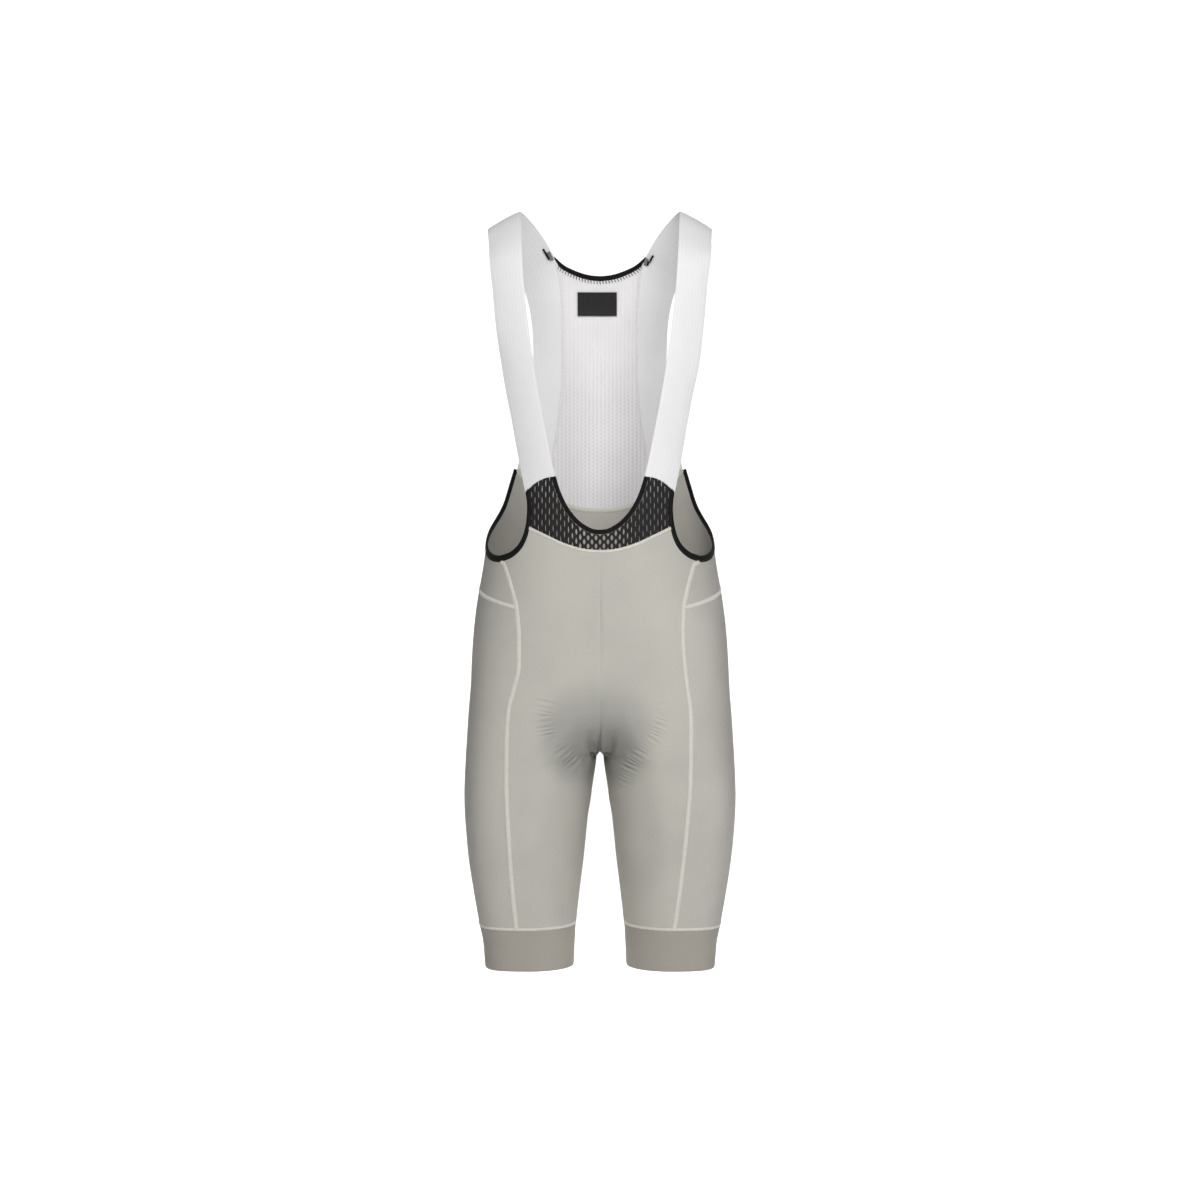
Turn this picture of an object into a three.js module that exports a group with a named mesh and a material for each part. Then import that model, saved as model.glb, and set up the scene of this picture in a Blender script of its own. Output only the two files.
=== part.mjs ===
// Cycling bib shorts, filled out as if worn, in millimetres. X runs to the right as seen from the
// front, the front faces -Y and Z is up. The origin lies midway between the two shoulder crests of
// the straps, where they rest on the shoulders.
import * as THREE from "three";

// Wall of the stretch fabric, of the white straps and mesh, of the net, and of the folded bindings.
const FABRIC_WALL = 1.5;
const STRAP_WALL = 1.3;
const NET_WALL = 1.2;
const BINDING_WALL = 2.4;
const LABEL_WALL = 1;

// Space left between two pieces along a seam.
const SEAM_GAP = 0.3;

// Heights of the leg grippers and of the seat, below the shoulder crests.
const GRIPPER_SEAM_Z = -850;
const HEM_Z = -901;
const CROTCH_ROW_Z = -700;

// Bindings: folded tape along the front neckline, the arm openings and the back neck.
const NECK_BINDING_WIDTH = 5.5;
const BACK_NECK_BINDING_WIDTH = 5;

// Openwork of the belly net: staggered upright slots in columns, their middles further apart towards
// the sides, where the net is stretched more.
const HOLE_PITCH_X = 4.55;
const HOLE_STEP_MIDDLE = 4.75;
const HOLE_STEP_GAIN = 1.7;
const HOLE_GAIN_FROM = 12;
const HOLE_GAIN_OVER = 40;
const HOLES_BOTTOM_Z = -408.5;
const HOLE_WIDTH = 2.8;
const HOLE_HEIGHT = 6.8;
const HOLE_CLEARANCE = 1.2;

// Label inside the back neck.
const LABEL_WIDTH = 49;
const LABEL_HEIGHT = 28.6;
const LABEL_X = -3.5;
const LABEL_Z = -98;

// Level rows round one half of the figure inside. z is the height at the side, half the greatest
// half width. front and back are the depths of the foremost and rearmost points, which lie at
// frontX and backX. inX, inFrontY, inFrontZ, inBackY and inBackZ place the two ends of the row: on the
// middle line of the body, or on the inner seam of the leg. turn is the angle at those ends, from
// square to the middle line (0) to along it (90).
const FIGURE_ROWS = [
  { z: -30, half: 176, front: -66, frontX: 0, back: 69, backX: 0, inX: 0,
    inFrontY: -66, inFrontZ: -30, inBackY: 69, inBackZ: -30, turn: 0 },
  { z: -60, half: 173, front: -79, frontX: 0, back: 83, backX: 0, inX: 0,
    inFrontY: -79, inFrontZ: -60, inBackY: 83, inBackZ: -60, turn: 0 },
  { z: -110, half: 168, front: -93, frontX: 0, back: 98, backX: 0, inX: 0,
    inFrontY: -93, inFrontZ: -110, inBackY: 98, inBackZ: -110, turn: 0 },
  { z: -170, half: 158, front: -104, frontX: 0, back: 106, backX: 0, inX: 0,
    inFrontY: -104, inFrontZ: -170, inBackY: 106, inBackZ: -170, turn: 0 },
  { z: -230, half: 145, front: -108, frontX: 0, back: 105, backX: 0, inX: 0,
    inFrontY: -108, inFrontZ: -230, inBackY: 105, inBackZ: -230, turn: 0 },
  { z: -290, half: 134, front: -108, frontX: 0, back: 97, backX: 0, inX: 0,
    inFrontY: -108, inFrontZ: -290, inBackY: 97, inBackZ: -290, turn: 0 },
  { z: -340, half: 131, front: -107, frontX: 0, back: 88, backX: 0, inX: 0,
    inFrontY: -107, inFrontZ: -340, inBackY: 88, inBackZ: -340, turn: 0 },
  { z: -385, half: 134, front: -108, frontX: 0, back: 83, backX: 0, inX: 0,
    inFrontY: -108, inFrontZ: -385, inBackY: 83, inBackZ: -385, turn: 0 },
  { z: -420, half: 138, front: -110, frontX: 0, back: 86, backX: 0, inX: 0,
    inFrontY: -110, inFrontZ: -420, inBackY: 86, inBackZ: -420, turn: 0 },
  { z: -454, half: 144, front: -112, frontX: 0, back: 95, backX: 20, inX: 0,
    inFrontY: -112, inFrontZ: -454, inBackY: 94, inBackZ: -454, turn: 0 },
  { z: -490, half: 149, front: -112, frontX: 4, back: 108, backX: 40, inX: 0,
    inFrontY: -112, inFrontZ: -490, inBackY: 105, inBackZ: -490, turn: 0 },
  { z: -526, half: 152, front: -110, frontX: 14, back: 119, backX: 52, inX: 0,
    inFrontY: -110, inFrontZ: -526, inBackY: 113, inBackZ: -526, turn: 0 },
  { z: -562, half: 154, front: -107, frontX: 30, back: 125, backX: 60, inX: 0,
    inFrontY: -106, inFrontZ: -561, inBackY: 116, inBackZ: -560, turn: 0 },
  { z: -598, half: 156.5, front: -104, frontX: 48, back: 127, backX: 66, inX: 0,
    inFrontY: -96, inFrontZ: -593, inBackY: 112, inBackZ: -591, turn: 8 },
  { z: -630, half: 158.5, front: -101, frontX: 62, back: 124, backX: 70, inX: 0,
    inFrontY: -77, inFrontZ: -617, inBackY: 97, inBackZ: -615, turn: 22 },
  { z: -658, half: 160, front: -99, frontX: 73, back: 118, backX: 74, inX: 0,
    inFrontY: -50, inFrontZ: -634, inBackY: 70, inBackZ: -633, turn: 38 },
  { z: -682, half: 161, front: -97, frontX: 80, back: 111, backX: 78, inX: 0,
    inFrontY: -22, inFrontZ: -643, inBackY: 36, inBackZ: -642, turn: 58 },
  { z: -700, half: 161.4, front: -95, frontX: 84, back: 107, backX: 82, inX: 0,
    inFrontY: 6, inFrontZ: -645.5, inBackY: 6, inBackZ: -645.5, turn: 77 },
  { z: -704, half: 161.3, front: -94.5, frontX: 84.6, back: 105.9, backX: 82.8, inX: 6.8,
    inFrontY: 5.8, inFrontZ: -650.5, inBackY: 5.8, inBackZ: -650.5, turn: 82 },
  { z: -709, half: 161.2, front: -93.8, frontX: 85.3, back: 104.5, backX: 83.7, inX: 8.3,
    inFrontY: 5.6, inFrontZ: -662, inBackY: 5.6, inBackZ: -662, turn: 88 },
  { z: -722, half: 160.6, front: -92, frontX: 87, back: 101, backX: 86, inX: 11.8,
    inFrontY: 5, inFrontZ: -690, inBackY: 5, inBackZ: -690, turn: 90 },
  { z: -750, half: 158.2, front: -88, frontX: 88, back: 94, backX: 87, inX: 16.5,
    inFrontY: 3, inFrontZ: -733, inBackY: 3, inBackZ: -733, turn: 90 },
  { z: -778, half: 155.4, front: -83, frontX: 88, back: 87, backX: 88, inX: 20.4,
    inFrontY: 1, inFrontZ: -772, inBackY: 1, inBackZ: -772, turn: 90 },
  { z: -810, half: 150.6, front: -77, frontX: 87, back: 78, backX: 88, inX: 24.8,
    inFrontY: 0, inFrontZ: -808, inBackY: 0, inBackZ: -808, turn: 90 },
  { z: -850, half: 143.6, front: -69, frontX: 86, back: 66, backX: 87, inX: 29.4,
    inFrontY: -2, inFrontZ: -850, inBackY: -2, inBackZ: -850, turn: 90 },
  { z: -874, half: 139, front: -64, frontX: 85, back: 60, backX: 86, inX: 30.8,
    inFrontY: -3, inFrontZ: -874, inBackY: -3, inBackZ: -874, turn: 90 },
  { z: -901, half: 136.8, front: -61, frontX: 84, back: 54, backX: 85, inX: 32,
    inFrontY: -4, inFrontZ: -901, inBackY: -4, inBackZ: -901, turn: 90 },
];

// Seam between the front panel and the side, as its distance from the middle line on each leg.
const FRONT_SEAM = [
  { z: -421, left: 112, right: 110 },
  { z: -458, left: 100.5, right: 100 },
  { z: -475, left: 96.2, right: 96.5 },
  { z: -507, left: 93.4, right: 95.6 },
  { z: -539, left: 93.4, right: 97.4 },
  { z: -572, left: 100, right: 101.5 },
  { z: -592, left: 105, right: 104 },
  { z: -621, left: 107.4, right: 105 },
  { z: -697, left: 108.3, right: 104.4 },
  { z: -736, left: 106.6, right: 101 },
  { z: -777, left: 104, right: 96.4 },
  { z: -819, left: 100.6, right: 91 },
  { z: -850, left: 97.4, right: 86.6 },
];

// Seam between the side and the back panel, as its distance from the middle line.
const BACK_SEAM = [
  { z: -401, x: 135 },
  { z: -443, x: 137.5 },
  { z: -500, x: 137.5 },
  { z: -560, x: 136.5 },
  { z: -640, x: 134.5 },
  { z: -700, x: 132 },
  { z: -750, x: 130 },
  { z: -800, x: 127.5 },
  { z: -850, x: 124 },
];

// Edge of the arm opening, from the strap's foot down the front, under the arm and up the back.
// width is the width of its binding there.
const ARM_EDGE = [
  { share: 0.234, z: -337, width: 5.2 },
  { share: 0.2265, z: -351, width: 5.4 },
  { share: 0.2245, z: -366, width: 5.7 },
  { share: 0.2285, z: -382.5, width: 6.1 },
  { share: 0.2385, z: -396.5, width: 6.7 },
  { share: 0.257, z: -408, width: 7.3 },
  { share: 0.289, z: -416.8, width: 7.7 },
  { share: 0.332, z: -421, width: 8 },
  { share: 0.36, z: -421.2, width: 8 },
  { share: 0.388, z: -419.5, width: 8 },
  { share: 0.416, z: -416.5, width: 7.9 },
  { share: 0.443, z: -412.5, width: 7.6 },
  { share: 0.47, z: -407.5, width: 7.2 },
  { share: 0.5, z: -401, width: 6.8 },
  { share: 0.532, z: -393.5, width: 6.4 },
  { share: 0.567, z: -384, width: 6.1 },
  { share: 0.615, z: -369, width: 5.8 },
  { share: 0.65, z: -353, width: 5.5 },
  { share: 0.677, z: -332, width: 5.2 },
  { share: 0.708, z: -306.5, width: 4.8 },
];

// Places in the arm edge where the neighbouring piece changes: net, front, side yoke, back.
const ARM_NET_END = 3;
const ARM_FRONT_END = 7;
const ARM_YOKE_END = 13;

// Lower seam of the belly net, from the middle line outwards.
const NET_SEAM = [
  { x: 0, z: -410 },
  { x: 20, z: -408.2 },
  { x: 42, z: -401.5 },
  { x: 62.5, z: -391.8 },
];

// Scooped front neckline, from the middle line up to the foot of the strap.
const NECKLINE = [
  { x: 0, z: -385 },
  { x: 8, z: -384 },
  { x: 15.5, z: -380.4 },
  { x: 21.5, z: -376.4 },
  { x: 27, z: -371.4 },
  { x: 32, z: -365.6 },
  { x: 36.4, z: -359.4 },
  { x: 40.6, z: -352 },
  { x: 44.3, z: -344 },
  { x: 48, z: -334 },
  { x: 51.2, z: -323 },
];

// Foot of the strap on the belly net, from its outer to its inner corner.
const STRAP_FOOT = [
  { x: 86.5, z: -341 },
  { x: 77.5, z: -332.6 },
  { x: 69, z: -327.2 },
  { x: 60.5, z: -324.3 },
  { x: 51.2, z: -323 },
];

// Seam across the back between the white mesh and the shorts, from the arm opening to the middle.
const BACK_TOP_SEAM = [
  { x: 101.6, z: -306.5 },
  { x: 92.5, z: -316.5 },
  { x: 84, z: -324.5 },
  { x: 75.5, z: -330.8 },
  { x: 67, z: -336 },
  { x: 51, z: -344.5 },
  { x: 34.5, z: -350.5 },
  { x: 17.5, z: -354 },
  { x: 0, z: -355 },
];
const STRAP_SEAM_STEPS = 4;

// Upper edge of the back neck, from near the strap to the middle.
const BACK_NECK = [
  { x: 44.5, z: -51.4 },
  { x: 30, z: -58 },
  { x: 15, z: -62.4 },
  { x: 0, z: -64 },
];

// Edges of the strap from its foot, up the chest, over the shoulder and down the back. Where y is
// left out the strap lies on the figure.
const STRAP_FRONT = [
  { outX: 94.4, outZ: -302, inX: 56.6, inZ: -300 },
  { outX: 102, outZ: -260, inX: 64.6, inZ: -260 },
  { outX: 110, outZ: -220, inX: 72, inZ: -220 },
  { outX: 117, outZ: -180, inX: 78.4, inZ: -180 },
  { outX: 121.8, outZ: -140, inX: 83.9, inZ: -140 },
  { outX: 126, outZ: -100, inX: 88.2, inZ: -100 },
  { outX: 130, outZ: -66, inX: 91, inZ: -60 },
];
const STRAP_SHOULDER = [
  { outX: 132, outY: -33, outZ: -39, inX: 93.5, inY: -41, inZ: -23 },
  { outX: 133.6, outY: -15, outZ: -25.5, inX: 94.8, inY: -19, inZ: -5 },
  { outX: 134, outY: 0, outZ: -22, inX: 95, inY: 0, inZ: 0 },
  { outX: 132, outY: 17, outZ: -25, inX: 90, inY: 15, inZ: -2 },
  { outX: 126, outY: 36, outZ: -36, inX: 80, inY: 32, inZ: -10.5 },
  { outX: 115, outY: 54, outZ: -52, inX: 68, inY: 50, inZ: -24.5 },
  { outX: 103, outY: 68, outZ: -67, inX: 56.8, inY: 67.5, inZ: -42 },
  { outX: 98, outY: 75, outZ: -77, inX: 54.8, inY: 73, inZ: -49 },
];
const STRAP_BACK = [
  { outX: 91, outZ: -90, inX: 49.5, inZ: -68 },
  { outX: 85, outZ: -120, inX: 46.6, inZ: -106 },
  { outX: 83.2, outZ: -155, inX: 46.5, inZ: -148 },
  { outX: 83.2, outZ: -192, inX: 47, inZ: -190 },
  { outX: 88, outZ: -232, inX: 51.2, inZ: -236 },
  { outX: 95.5, outZ: -272, inX: 58, inZ: -282 },
];

// Heights of the grid rows down the front seam; the first four belong to the side yoke.
const SEAM_LEVELS = [
  -421, -439, -457, -475, -502, -530, -556, -579, -599, -617, -634, -651, -667, -684, -700, -704,
  -714, -732, -757, -787, -819, -850,
];
const YOKE_LEVELS = 3;

// Raised outline of the seat pad, pressed through the cloth from inside.
const PAD_LIFT = 2.2;
const PAD_FRONT = { halfWidth: 74, halfHeight: 74, middleZ: -620 };
const PAD_BACK = { halfWidth: 80, halfHeight: 88, middleZ: -640 };

const lerp = (from, to, t) => from + (to - from) * t;
const clamp01 = (t) => Math.max(0, Math.min(1, t));
const ease = (t) => t * t * (3 - 2 * t);

// Smooth value of one column of a table, at a height; the rows run downwards and the value never
// swings past them.
function slopeAt(rows, key, i) {
  const rise = (n) => (rows[n + 1][key] - rows[n][key]) / (rows[n + 1].z - rows[n].z);
  if (i === 0) {
    return rise(0);
  }
  if (i === rows.length - 1) {
    return rise(i - 1);
  }
  const above = rise(i - 1);
  const below = rise(i);
  return above * below <= 0 ? 0 : (2 * above * below) / (above + below);
}
function columnAt(rows, key, z) {
  let i = 0;
  while (i < rows.length - 2 && z < rows[i + 1].z) {
    i += 1;
  }
  const span = rows[i + 1].z - rows[i].z;
  const t = (z - rows[i].z) / span;
  const t2 = t * t;
  const t3 = t2 * t;
  return (
    (2 * t3 - 3 * t2 + 1) * rows[i][key] +
    (t3 - 2 * t2 + t) * span * slopeAt(rows, key, i) +
    (3 * t2 - 2 * t3) * rows[i + 1][key] +
    (t3 - t2) * span * slopeAt(rows, key, i + 1)
  );
}

// One level row as a fine line from its front end to its back end, with the share of its length
// reached at each point. Four rounded arcs: to the foremost point, the side, the rearmost point, the
// end. Below the waist the second is fuller, so that the front is flatter and turns near the side.
const rowStore = new Map();
const ARC_FULLNESS = 0.6;
const SIDE_FULLNESS = 0.75;
const FULLER_FROM_Z = -430;
const FULLER_OVER = 90;
const ARC_STEPS = 20;
function figureRow(z) {
  const tag = Math.round(z * 100);
  if (rowStore.has(tag)) {
    return rowStore.get(tag);
  }
  const row = {};
  for (const key of Object.keys(FIGURE_ROWS[0])) {
    row[key] = columnAt(FIGURE_ROWS, key, z);
  }
  const turn = THREE.MathUtils.degToRad(Math.max(0, Math.min(90, row.turn)));
  const inX = Math.max(0, row.inX);
  const frontX = Math.max(inX, row.frontX);
  const backX = Math.max(inX, row.backX);
  const sideY = (row.front + row.back) * 0.3;
  const full = lerp(ARC_FULLNESS, SIDE_FULLNESS, ease(clamp01((FULLER_FROM_Z - z) / FULLER_OVER)));
  const frontLead = ARC_FULLNESS * ((frontX - inX) * Math.cos(turn)
    + (row.inFrontY - row.front) * Math.sin(turn));
  const backLead = ARC_FULLNESS * ((backX - inX) * Math.cos(turn)
    + (row.back - row.inBackY) * Math.sin(turn));
  const arcs = [
    [
      [inX, row.inFrontY],
      [inX + frontLead * Math.cos(turn), row.inFrontY - frontLead * Math.sin(turn)],
      [frontX - 0.55 * (frontX - inX), row.front],
      [frontX, row.front],
    ],
    [
      [frontX, row.front],
      [lerp(frontX, row.half, full), row.front],
      [row.half, lerp(sideY, row.front, full)],
      [row.half, sideY],
    ],
    [
      [row.half, sideY],
      [row.half, lerp(sideY, row.back, ARC_FULLNESS)],
      [lerp(backX, row.half, ARC_FULLNESS), row.back],
      [backX, row.back],
    ],
    [
      [backX, row.back],
      [backX - 0.55 * (backX - inX), row.back],
      [inX + backLead * Math.cos(turn), row.inBackY + backLead * Math.sin(turn)],
      [inX, row.inBackY],
    ],
  ];
  const line = [];
  for (const [p, q, r, s] of arcs) {
    for (let i = line.length > 0 ? 1 : 0; i <= ARC_STEPS; i += 1) {
      const t = i / ARC_STEPS;
      const m = 1 - t;
      line.push([0, 1].map((k) => (
        m * m * m * p[k] + 3 * m * m * t * q[k] + 3 * m * t * t * r[k] + t * t * t * s[k]
      )));
    }
  }
  const reached = [0];
  for (let i = 1; i < line.length; i += 1) {
    reached.push(reached[i - 1] + Math.hypot(line[i][0] - line[i - 1][0], line[i][1] - line[i - 1][1]));
  }
  const girth = reached[reached.length - 1];
  let widest = 0;
  line.forEach((point, i) => {
    if (point[0] > line[widest][0]) {
      widest = i;
    }
  });
  const made = { row, line, girth, reached: reached.map((v) => v / girth), side: reached[widest] / girth };
  rowStore.set(tag, made);
  return made;
}

// Point of the figure at a share of the way round a row and the row's height at the side.
function figurePoint(share, z) {
  const { row, line, reached, side } = figureRow(z);
  const along = clamp01(share);
  let i = 0;
  while (i < reached.length - 2 && reached[i + 1] < along) {
    i += 1;
  }
  const t = (along - reached[i]) / Math.max(1e-9, reached[i + 1] - reached[i]);
  const inFront = along < side;
  const endZ = inFront ? row.inFrontZ : row.inBackZ;
  const outwards = inFront ? along / side : (1 - along) / (1 - side);
  return new THREE.Vector3(
    lerp(line[i][0], line[i + 1][0], t),
    lerp(line[i][1], line[i + 1][1], t),
    lerp(endZ, z, ease(clamp01(outwards))),
  );
}

// Share of the way round at which a row reaches a distance from the middle, in front or behind.
function shareAtX(x, z, behind) {
  const { side } = figureRow(z);
  let low = behind ? side : 0;
  let high = behind ? 1 : side;
  for (let k = 0; k < 36; k += 1) {
    const middle = (low + high) / 2;
    if ((figurePoint(middle, z).x < x) !== behind) {
      low = middle;
    } else {
      high = middle;
    }
  }
  return (low + high) / 2;
}

// Outward direction of the figure. Row ends on the middle line look across it to the other half, and
// row ends on the inner leg seam look round it.
const PROBE = 0.004;
function figureNormal(share, z) {
  let before = figurePoint(share - PROBE, z);
  let after = figurePoint(share + PROBE, z);
  const onMiddle = z > CROTCH_ROW_Z - 1;
  if (share < PROBE) {
    before = onMiddle ? after.clone().multiply(new THREE.Vector3(-1, 1, 1)) : figurePoint(1 - PROBE, z);
  }
  if (share > 1 - PROBE) {
    after = onMiddle ? before.clone().multiply(new THREE.Vector3(-1, 1, 1)) : figurePoint(PROBE, z);
  }
  const upper = figurePoint(share, Math.min(z + 2, FIGURE_ROWS[0].z));
  const lower = figurePoint(share, Math.max(z - 2, HEM_Z));
  const round = after.sub(before);
  const down = lower.sub(upper);
  if (onMiddle && z < CROTCH_ROW_Z + 1 && (share < PROBE || share > 1 - PROBE)) {
    return new THREE.Vector3(0, 0, -1);
  }
  return new THREE.Vector3().crossVectors(down, round).normalize();
}

// Height of the pad outline at a point of the figure; front and back shapes pass into each other
// under the seat.
function padLift(point) {
  const liftOf = (shape) => {
    const reach = Math.hypot(point.x / shape.halfWidth, (point.z - shape.middleZ) / shape.halfHeight);
    return PAD_LIFT * ease(clamp01((1 - reach) / 0.22));
  };
  return lerp(liftOf(PAD_FRONT), liftOf(PAD_BACK), ease(clamp01((point.y + 30) / 60)));
}

// A point on the cloth: where it is and which way is outwards.
function clothPoint(share, z) {
  const point = figurePoint(share, z);
  const normal = figureNormal(share, z);
  return { point: point.addScaledVector(normal, padLift(point)), normal };
}
const clothAtX = (x, z, behind) => clothPoint(shareAtX(x, z, behind), z);

// Grid of cloth points between four edges given as [share, z]: down the left and right, across the
// top and bottom. The shapes of the top and bottom edges fade out within the grid.
function panelGrid(left, right, top, bottom) {
  const rows = left.length - 1;
  const columns = top.length - 1;
  const grid = [];
  for (let j = 0; j <= rows; j += 1) {
    const v = j / rows;
    const fadeTop = (1 - v) ** 4;
    const fadeBottom = v ** 4;
    const line = [];
    for (let i = 0; i <= columns; i += 1) {
      const u = i / columns;
      const place = [0, 1].map((k) => (
        lerp(left[j][k], right[j][k], u)
        + fadeTop * (top[i][k] - lerp(top[0][k], top[columns][k], u))
        + fadeBottom * (bottom[i][k] - lerp(bottom[0][k], bottom[columns][k], u))
      ));
      line.push(clothPoint(place[0], place[1]));
    }
    grid.push(line);
  }
  return grid;
}

// Moves the edges of a grid inwards in its own surface, which leaves the seam gap.
function trimEdges(grid, sides) {
  const rows = grid.length - 1;
  const columns = grid[0].length - 1;
  const copy = grid.map((line) => line.map(({ point, normal }) => ({ point: point.clone(), normal })));
  const edges = {
    top: { count: columns, at: (i) => [0, i], within: (i) => [1, i] },
    bottom: { count: columns, at: (i) => [rows, i], within: (i) => [rows - 1, i] },
    left: { count: rows, at: (j) => [j, 0], within: (j) => [j, 1] },
    right: { count: rows, at: (j) => [j, columns], within: (j) => [j, columns - 1] },
  };
  for (const side of sides) {
    const { count, at, within } = edges[side];
    const pick = ([j, i]) => grid[j][i];
    for (let n = 0; n <= count; n += 1) {
      const { point, normal } = pick(at(n));
      const next = pick(at(Math.min(n + 1, count))).point;
      const last = pick(at(Math.max(n - 1, 0))).point;
      const run = next.clone().sub(last).normalize();
      const inwards = pick(within(n)).point.clone().sub(point);
      inwards.addScaledVector(run, -inwards.dot(run));
      inwards.addScaledVector(normal, -inwards.dot(normal));
      if (inwards.lengthSq() > 1e-8) {
        const [j, i] = at(n);
        copy[j][i].point.addScaledVector(inwards.normalize(), SEAM_GAP / 2);
      }
    }
  }
  return copy;
}

// Closed wall from triangles over a list of cloth points: an outer and an inner skin, joined along
// each edge that only one triangle uses. side is 1 or -1 and mirrors the piece to the other half.
function wall(points, triangles, thickness, side) {
  const count = points.length;
  const mirrorable = points.every(({ point }) => point.x > 0);
  const positions = [];
  for (const facing of [0.5, -0.5]) {
    for (const { point, normal } of points) {
      const moved = point.clone().addScaledVector(normal, facing * thickness);
      const x = point.x > 0 && mirrorable ? Math.max(moved.x, SEAM_GAP / 2) : moved.x;
      positions.push(side * x, moved.y, moved.z);
    }
  }
  const index = [];
  const used = new Set();
  for (const [a, b, c] of triangles) {
    index.push(a, b, c, count + a, count + c, count + b);
    used.add(`${a}_${b}`).add(`${b}_${c}`).add(`${c}_${a}`);
  }
  for (const [a, b, c] of triangles) {
    for (const [from, to] of [[a, b], [b, c], [c, a]]) {
      if (!used.has(`${to}_${from}`)) {
        index.push(to, from, count + from, to, count + from, count + to);
      }
    }
  }
  const at = (n) => new THREE.Vector3(positions[3 * n], positions[3 * n + 1], positions[3 * n + 2]);
  let volume = 0;
  for (let n = 0; n < index.length; n += 3) {
    volume += at(index[n]).dot(at(index[n + 1]).cross(at(index[n + 2])));
  }
  if (volume < 0) {
    for (let n = 0; n < index.length; n += 3) {
      const kept = index[n];
      index[n] = index[n + 1];
      index[n + 1] = kept;
    }
  }
  const geometry = new THREE.BufferGeometry();
  geometry.setAttribute("position", new THREE.Float32BufferAttribute(positions, 3));
  geometry.setIndex(index);
  geometry.computeVertexNormals();
  return geometry;
}

// Closed wall from a grid; a ring joins its last column to its first.
function gridWall(grid, thickness, side, ring = false) {
  const columns = grid[0].length;
  const points = grid.flat();
  const triangles = [];
  for (let j = 0; j < grid.length - 1; j += 1) {
    for (let i = 0; i < (ring ? columns : columns - 1); i += 1) {
      const next = (i + 1) % columns;
      const a = j * columns + i;
      const b = j * columns + next;
      const c = (j + 1) * columns + next;
      const d = (j + 1) * columns + i;
      triangles.push([a, b, c], [a, c, d]);
    }
  }
  return wall(points, triangles, thickness, side);
}

// Folded tape along an edge: rises a little over its middle and reaches from the seam towards the
// open side. The grid has a row for each station of the edge.
const BINDING_RISE = 0.5;
function bindingGrid(edge, widths, openPoint, firstFar = null) {
  return edge.map(({ point, normal }, n) => {
    const next = edge[Math.min(n + 1, edge.length - 1)].point;
    const last = edge[Math.max(n - 1, 0)].point;
    const run = next.clone().sub(last).normalize();
    const across = new THREE.Vector3().crossVectors(normal, run).normalize();
    if (across.dot(openPoint.clone().sub(point)) < 0) {
      across.negate();
    }
    if (n === 0 && firstFar) {
      across.copy(firstFar).sub(point).normalize();
    }
    const start = point.clone().addScaledVector(run, n === 0 && firstFar ? SEAM_GAP : 0);
    return [SEAM_GAP / 2, widths[n] / 2, widths[n]].map((reach, k) => ({
      point: start.clone().addScaledVector(across, reach).addScaledVector(normal, k === 1 ? BINDING_RISE : 0),
      normal,
    }));
  });
}

const fabric = (name, color, roughness) => {
  const material = new THREE.MeshStandardMaterial({ color, roughness, metalness: 0 });
  material.name = name;
  return material;
};
const MATERIALS = {
  shorts: fabric("shorts_fabric", 0xbeb9ae, 0.72),
  side: fabric("side_fabric", 0xb7b3a9, 0.72),
  gripper: fabric("gripper_band", 0xa39d93, 0.66),
  net: fabric("belly_net", 0x262425, 0.78),
  binding: fabric("black_binding", 0x151413, 0.7),
  strap: fabric("white_strap", 0xe9e7e8, 0.8),
  mesh: fabric("white_mesh", 0xe2dfdd, 0.82),
  label: fabric("neck_label", 0x242224, 0.6),
};

const garment = new THREE.Group();
garment.name = "cycling_bib_shorts";

function addPiece(name, geometry, material) {
  const mesh = new THREE.Mesh(geometry, material);
  mesh.name = name;
  garment.add(mesh);
}

// Heights down one seam: its own start and its own height where the yoke ends, then easing into the
// levels of the front seam.
const LEVELS_MEET_Z = -600;
function seamLevels(topZ, yokeZ) {
  const front = SEAM_LEVELS[YOKE_LEVELS];
  return SEAM_LEVELS.map((z, j) => {
    if (j <= YOKE_LEVELS) {
      return lerp(topZ, yokeZ, j / YOKE_LEVELS);
    }
    return z + (yokeZ - front) * clamp01((z - LEVELS_MEET_Z) / (front - LEVELS_MEET_Z));
  });
}

// Places [share, z] along the edges that the panels share.
const centreFront = seamLevels(NET_SEAM[0].z, -471).map((z) => [0, z]);
const centreBack = seamLevels(-355, -425).map((z) => [1, z]);
const backSeam = seamLevels(ARM_EDGE[ARM_YOKE_END].z, -443).map((z) => [
  shareAtX(columnAt(BACK_SEAM, "x", z), z, true), z,
]);
const armEdge = ARM_EDGE.map(({ share, z }) => [share, z]);
backSeam[0] = armEdge[ARM_YOKE_END];
const netCorner = armEdge[ARM_NET_END];
const netSeam = [...NET_SEAM.map(({ x, z }) => [shareAtX(x, z, false), z]), netCorner];
const backTopSeam = BACK_TOP_SEAM.map(({ x, z }) => [shareAtX(x, z, true), z]);
backTopSeam[0] = armEdge[armEdge.length - 1];

// More places along a list, evenly between its own.
function refine(places, steps) {
  const fine = [];
  for (let n = 0; n < places.length - 1; n += 1) {
    const before = places[Math.max(n - 1, 0)];
    const after = places[Math.min(n + 2, places.length - 1)];
    for (let k = 0; k < steps; k += 1) {
      const t = k / steps;
      fine.push([0, 1].map((c) => {
        const bend = ((before[c] + after[c]) - (places[n][c] + places[n + 1][c])) * 0.5 * t * (1 - t) * -0.25;
        return lerp(places[n][c], places[n + 1][c], t) + (places.length > 2 ? bend : 0);
      }));
    }
  }
  fine.push(places[places.length - 1]);
  return fine;
}
const netSeamFine = refine(netSeam, 2);

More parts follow.
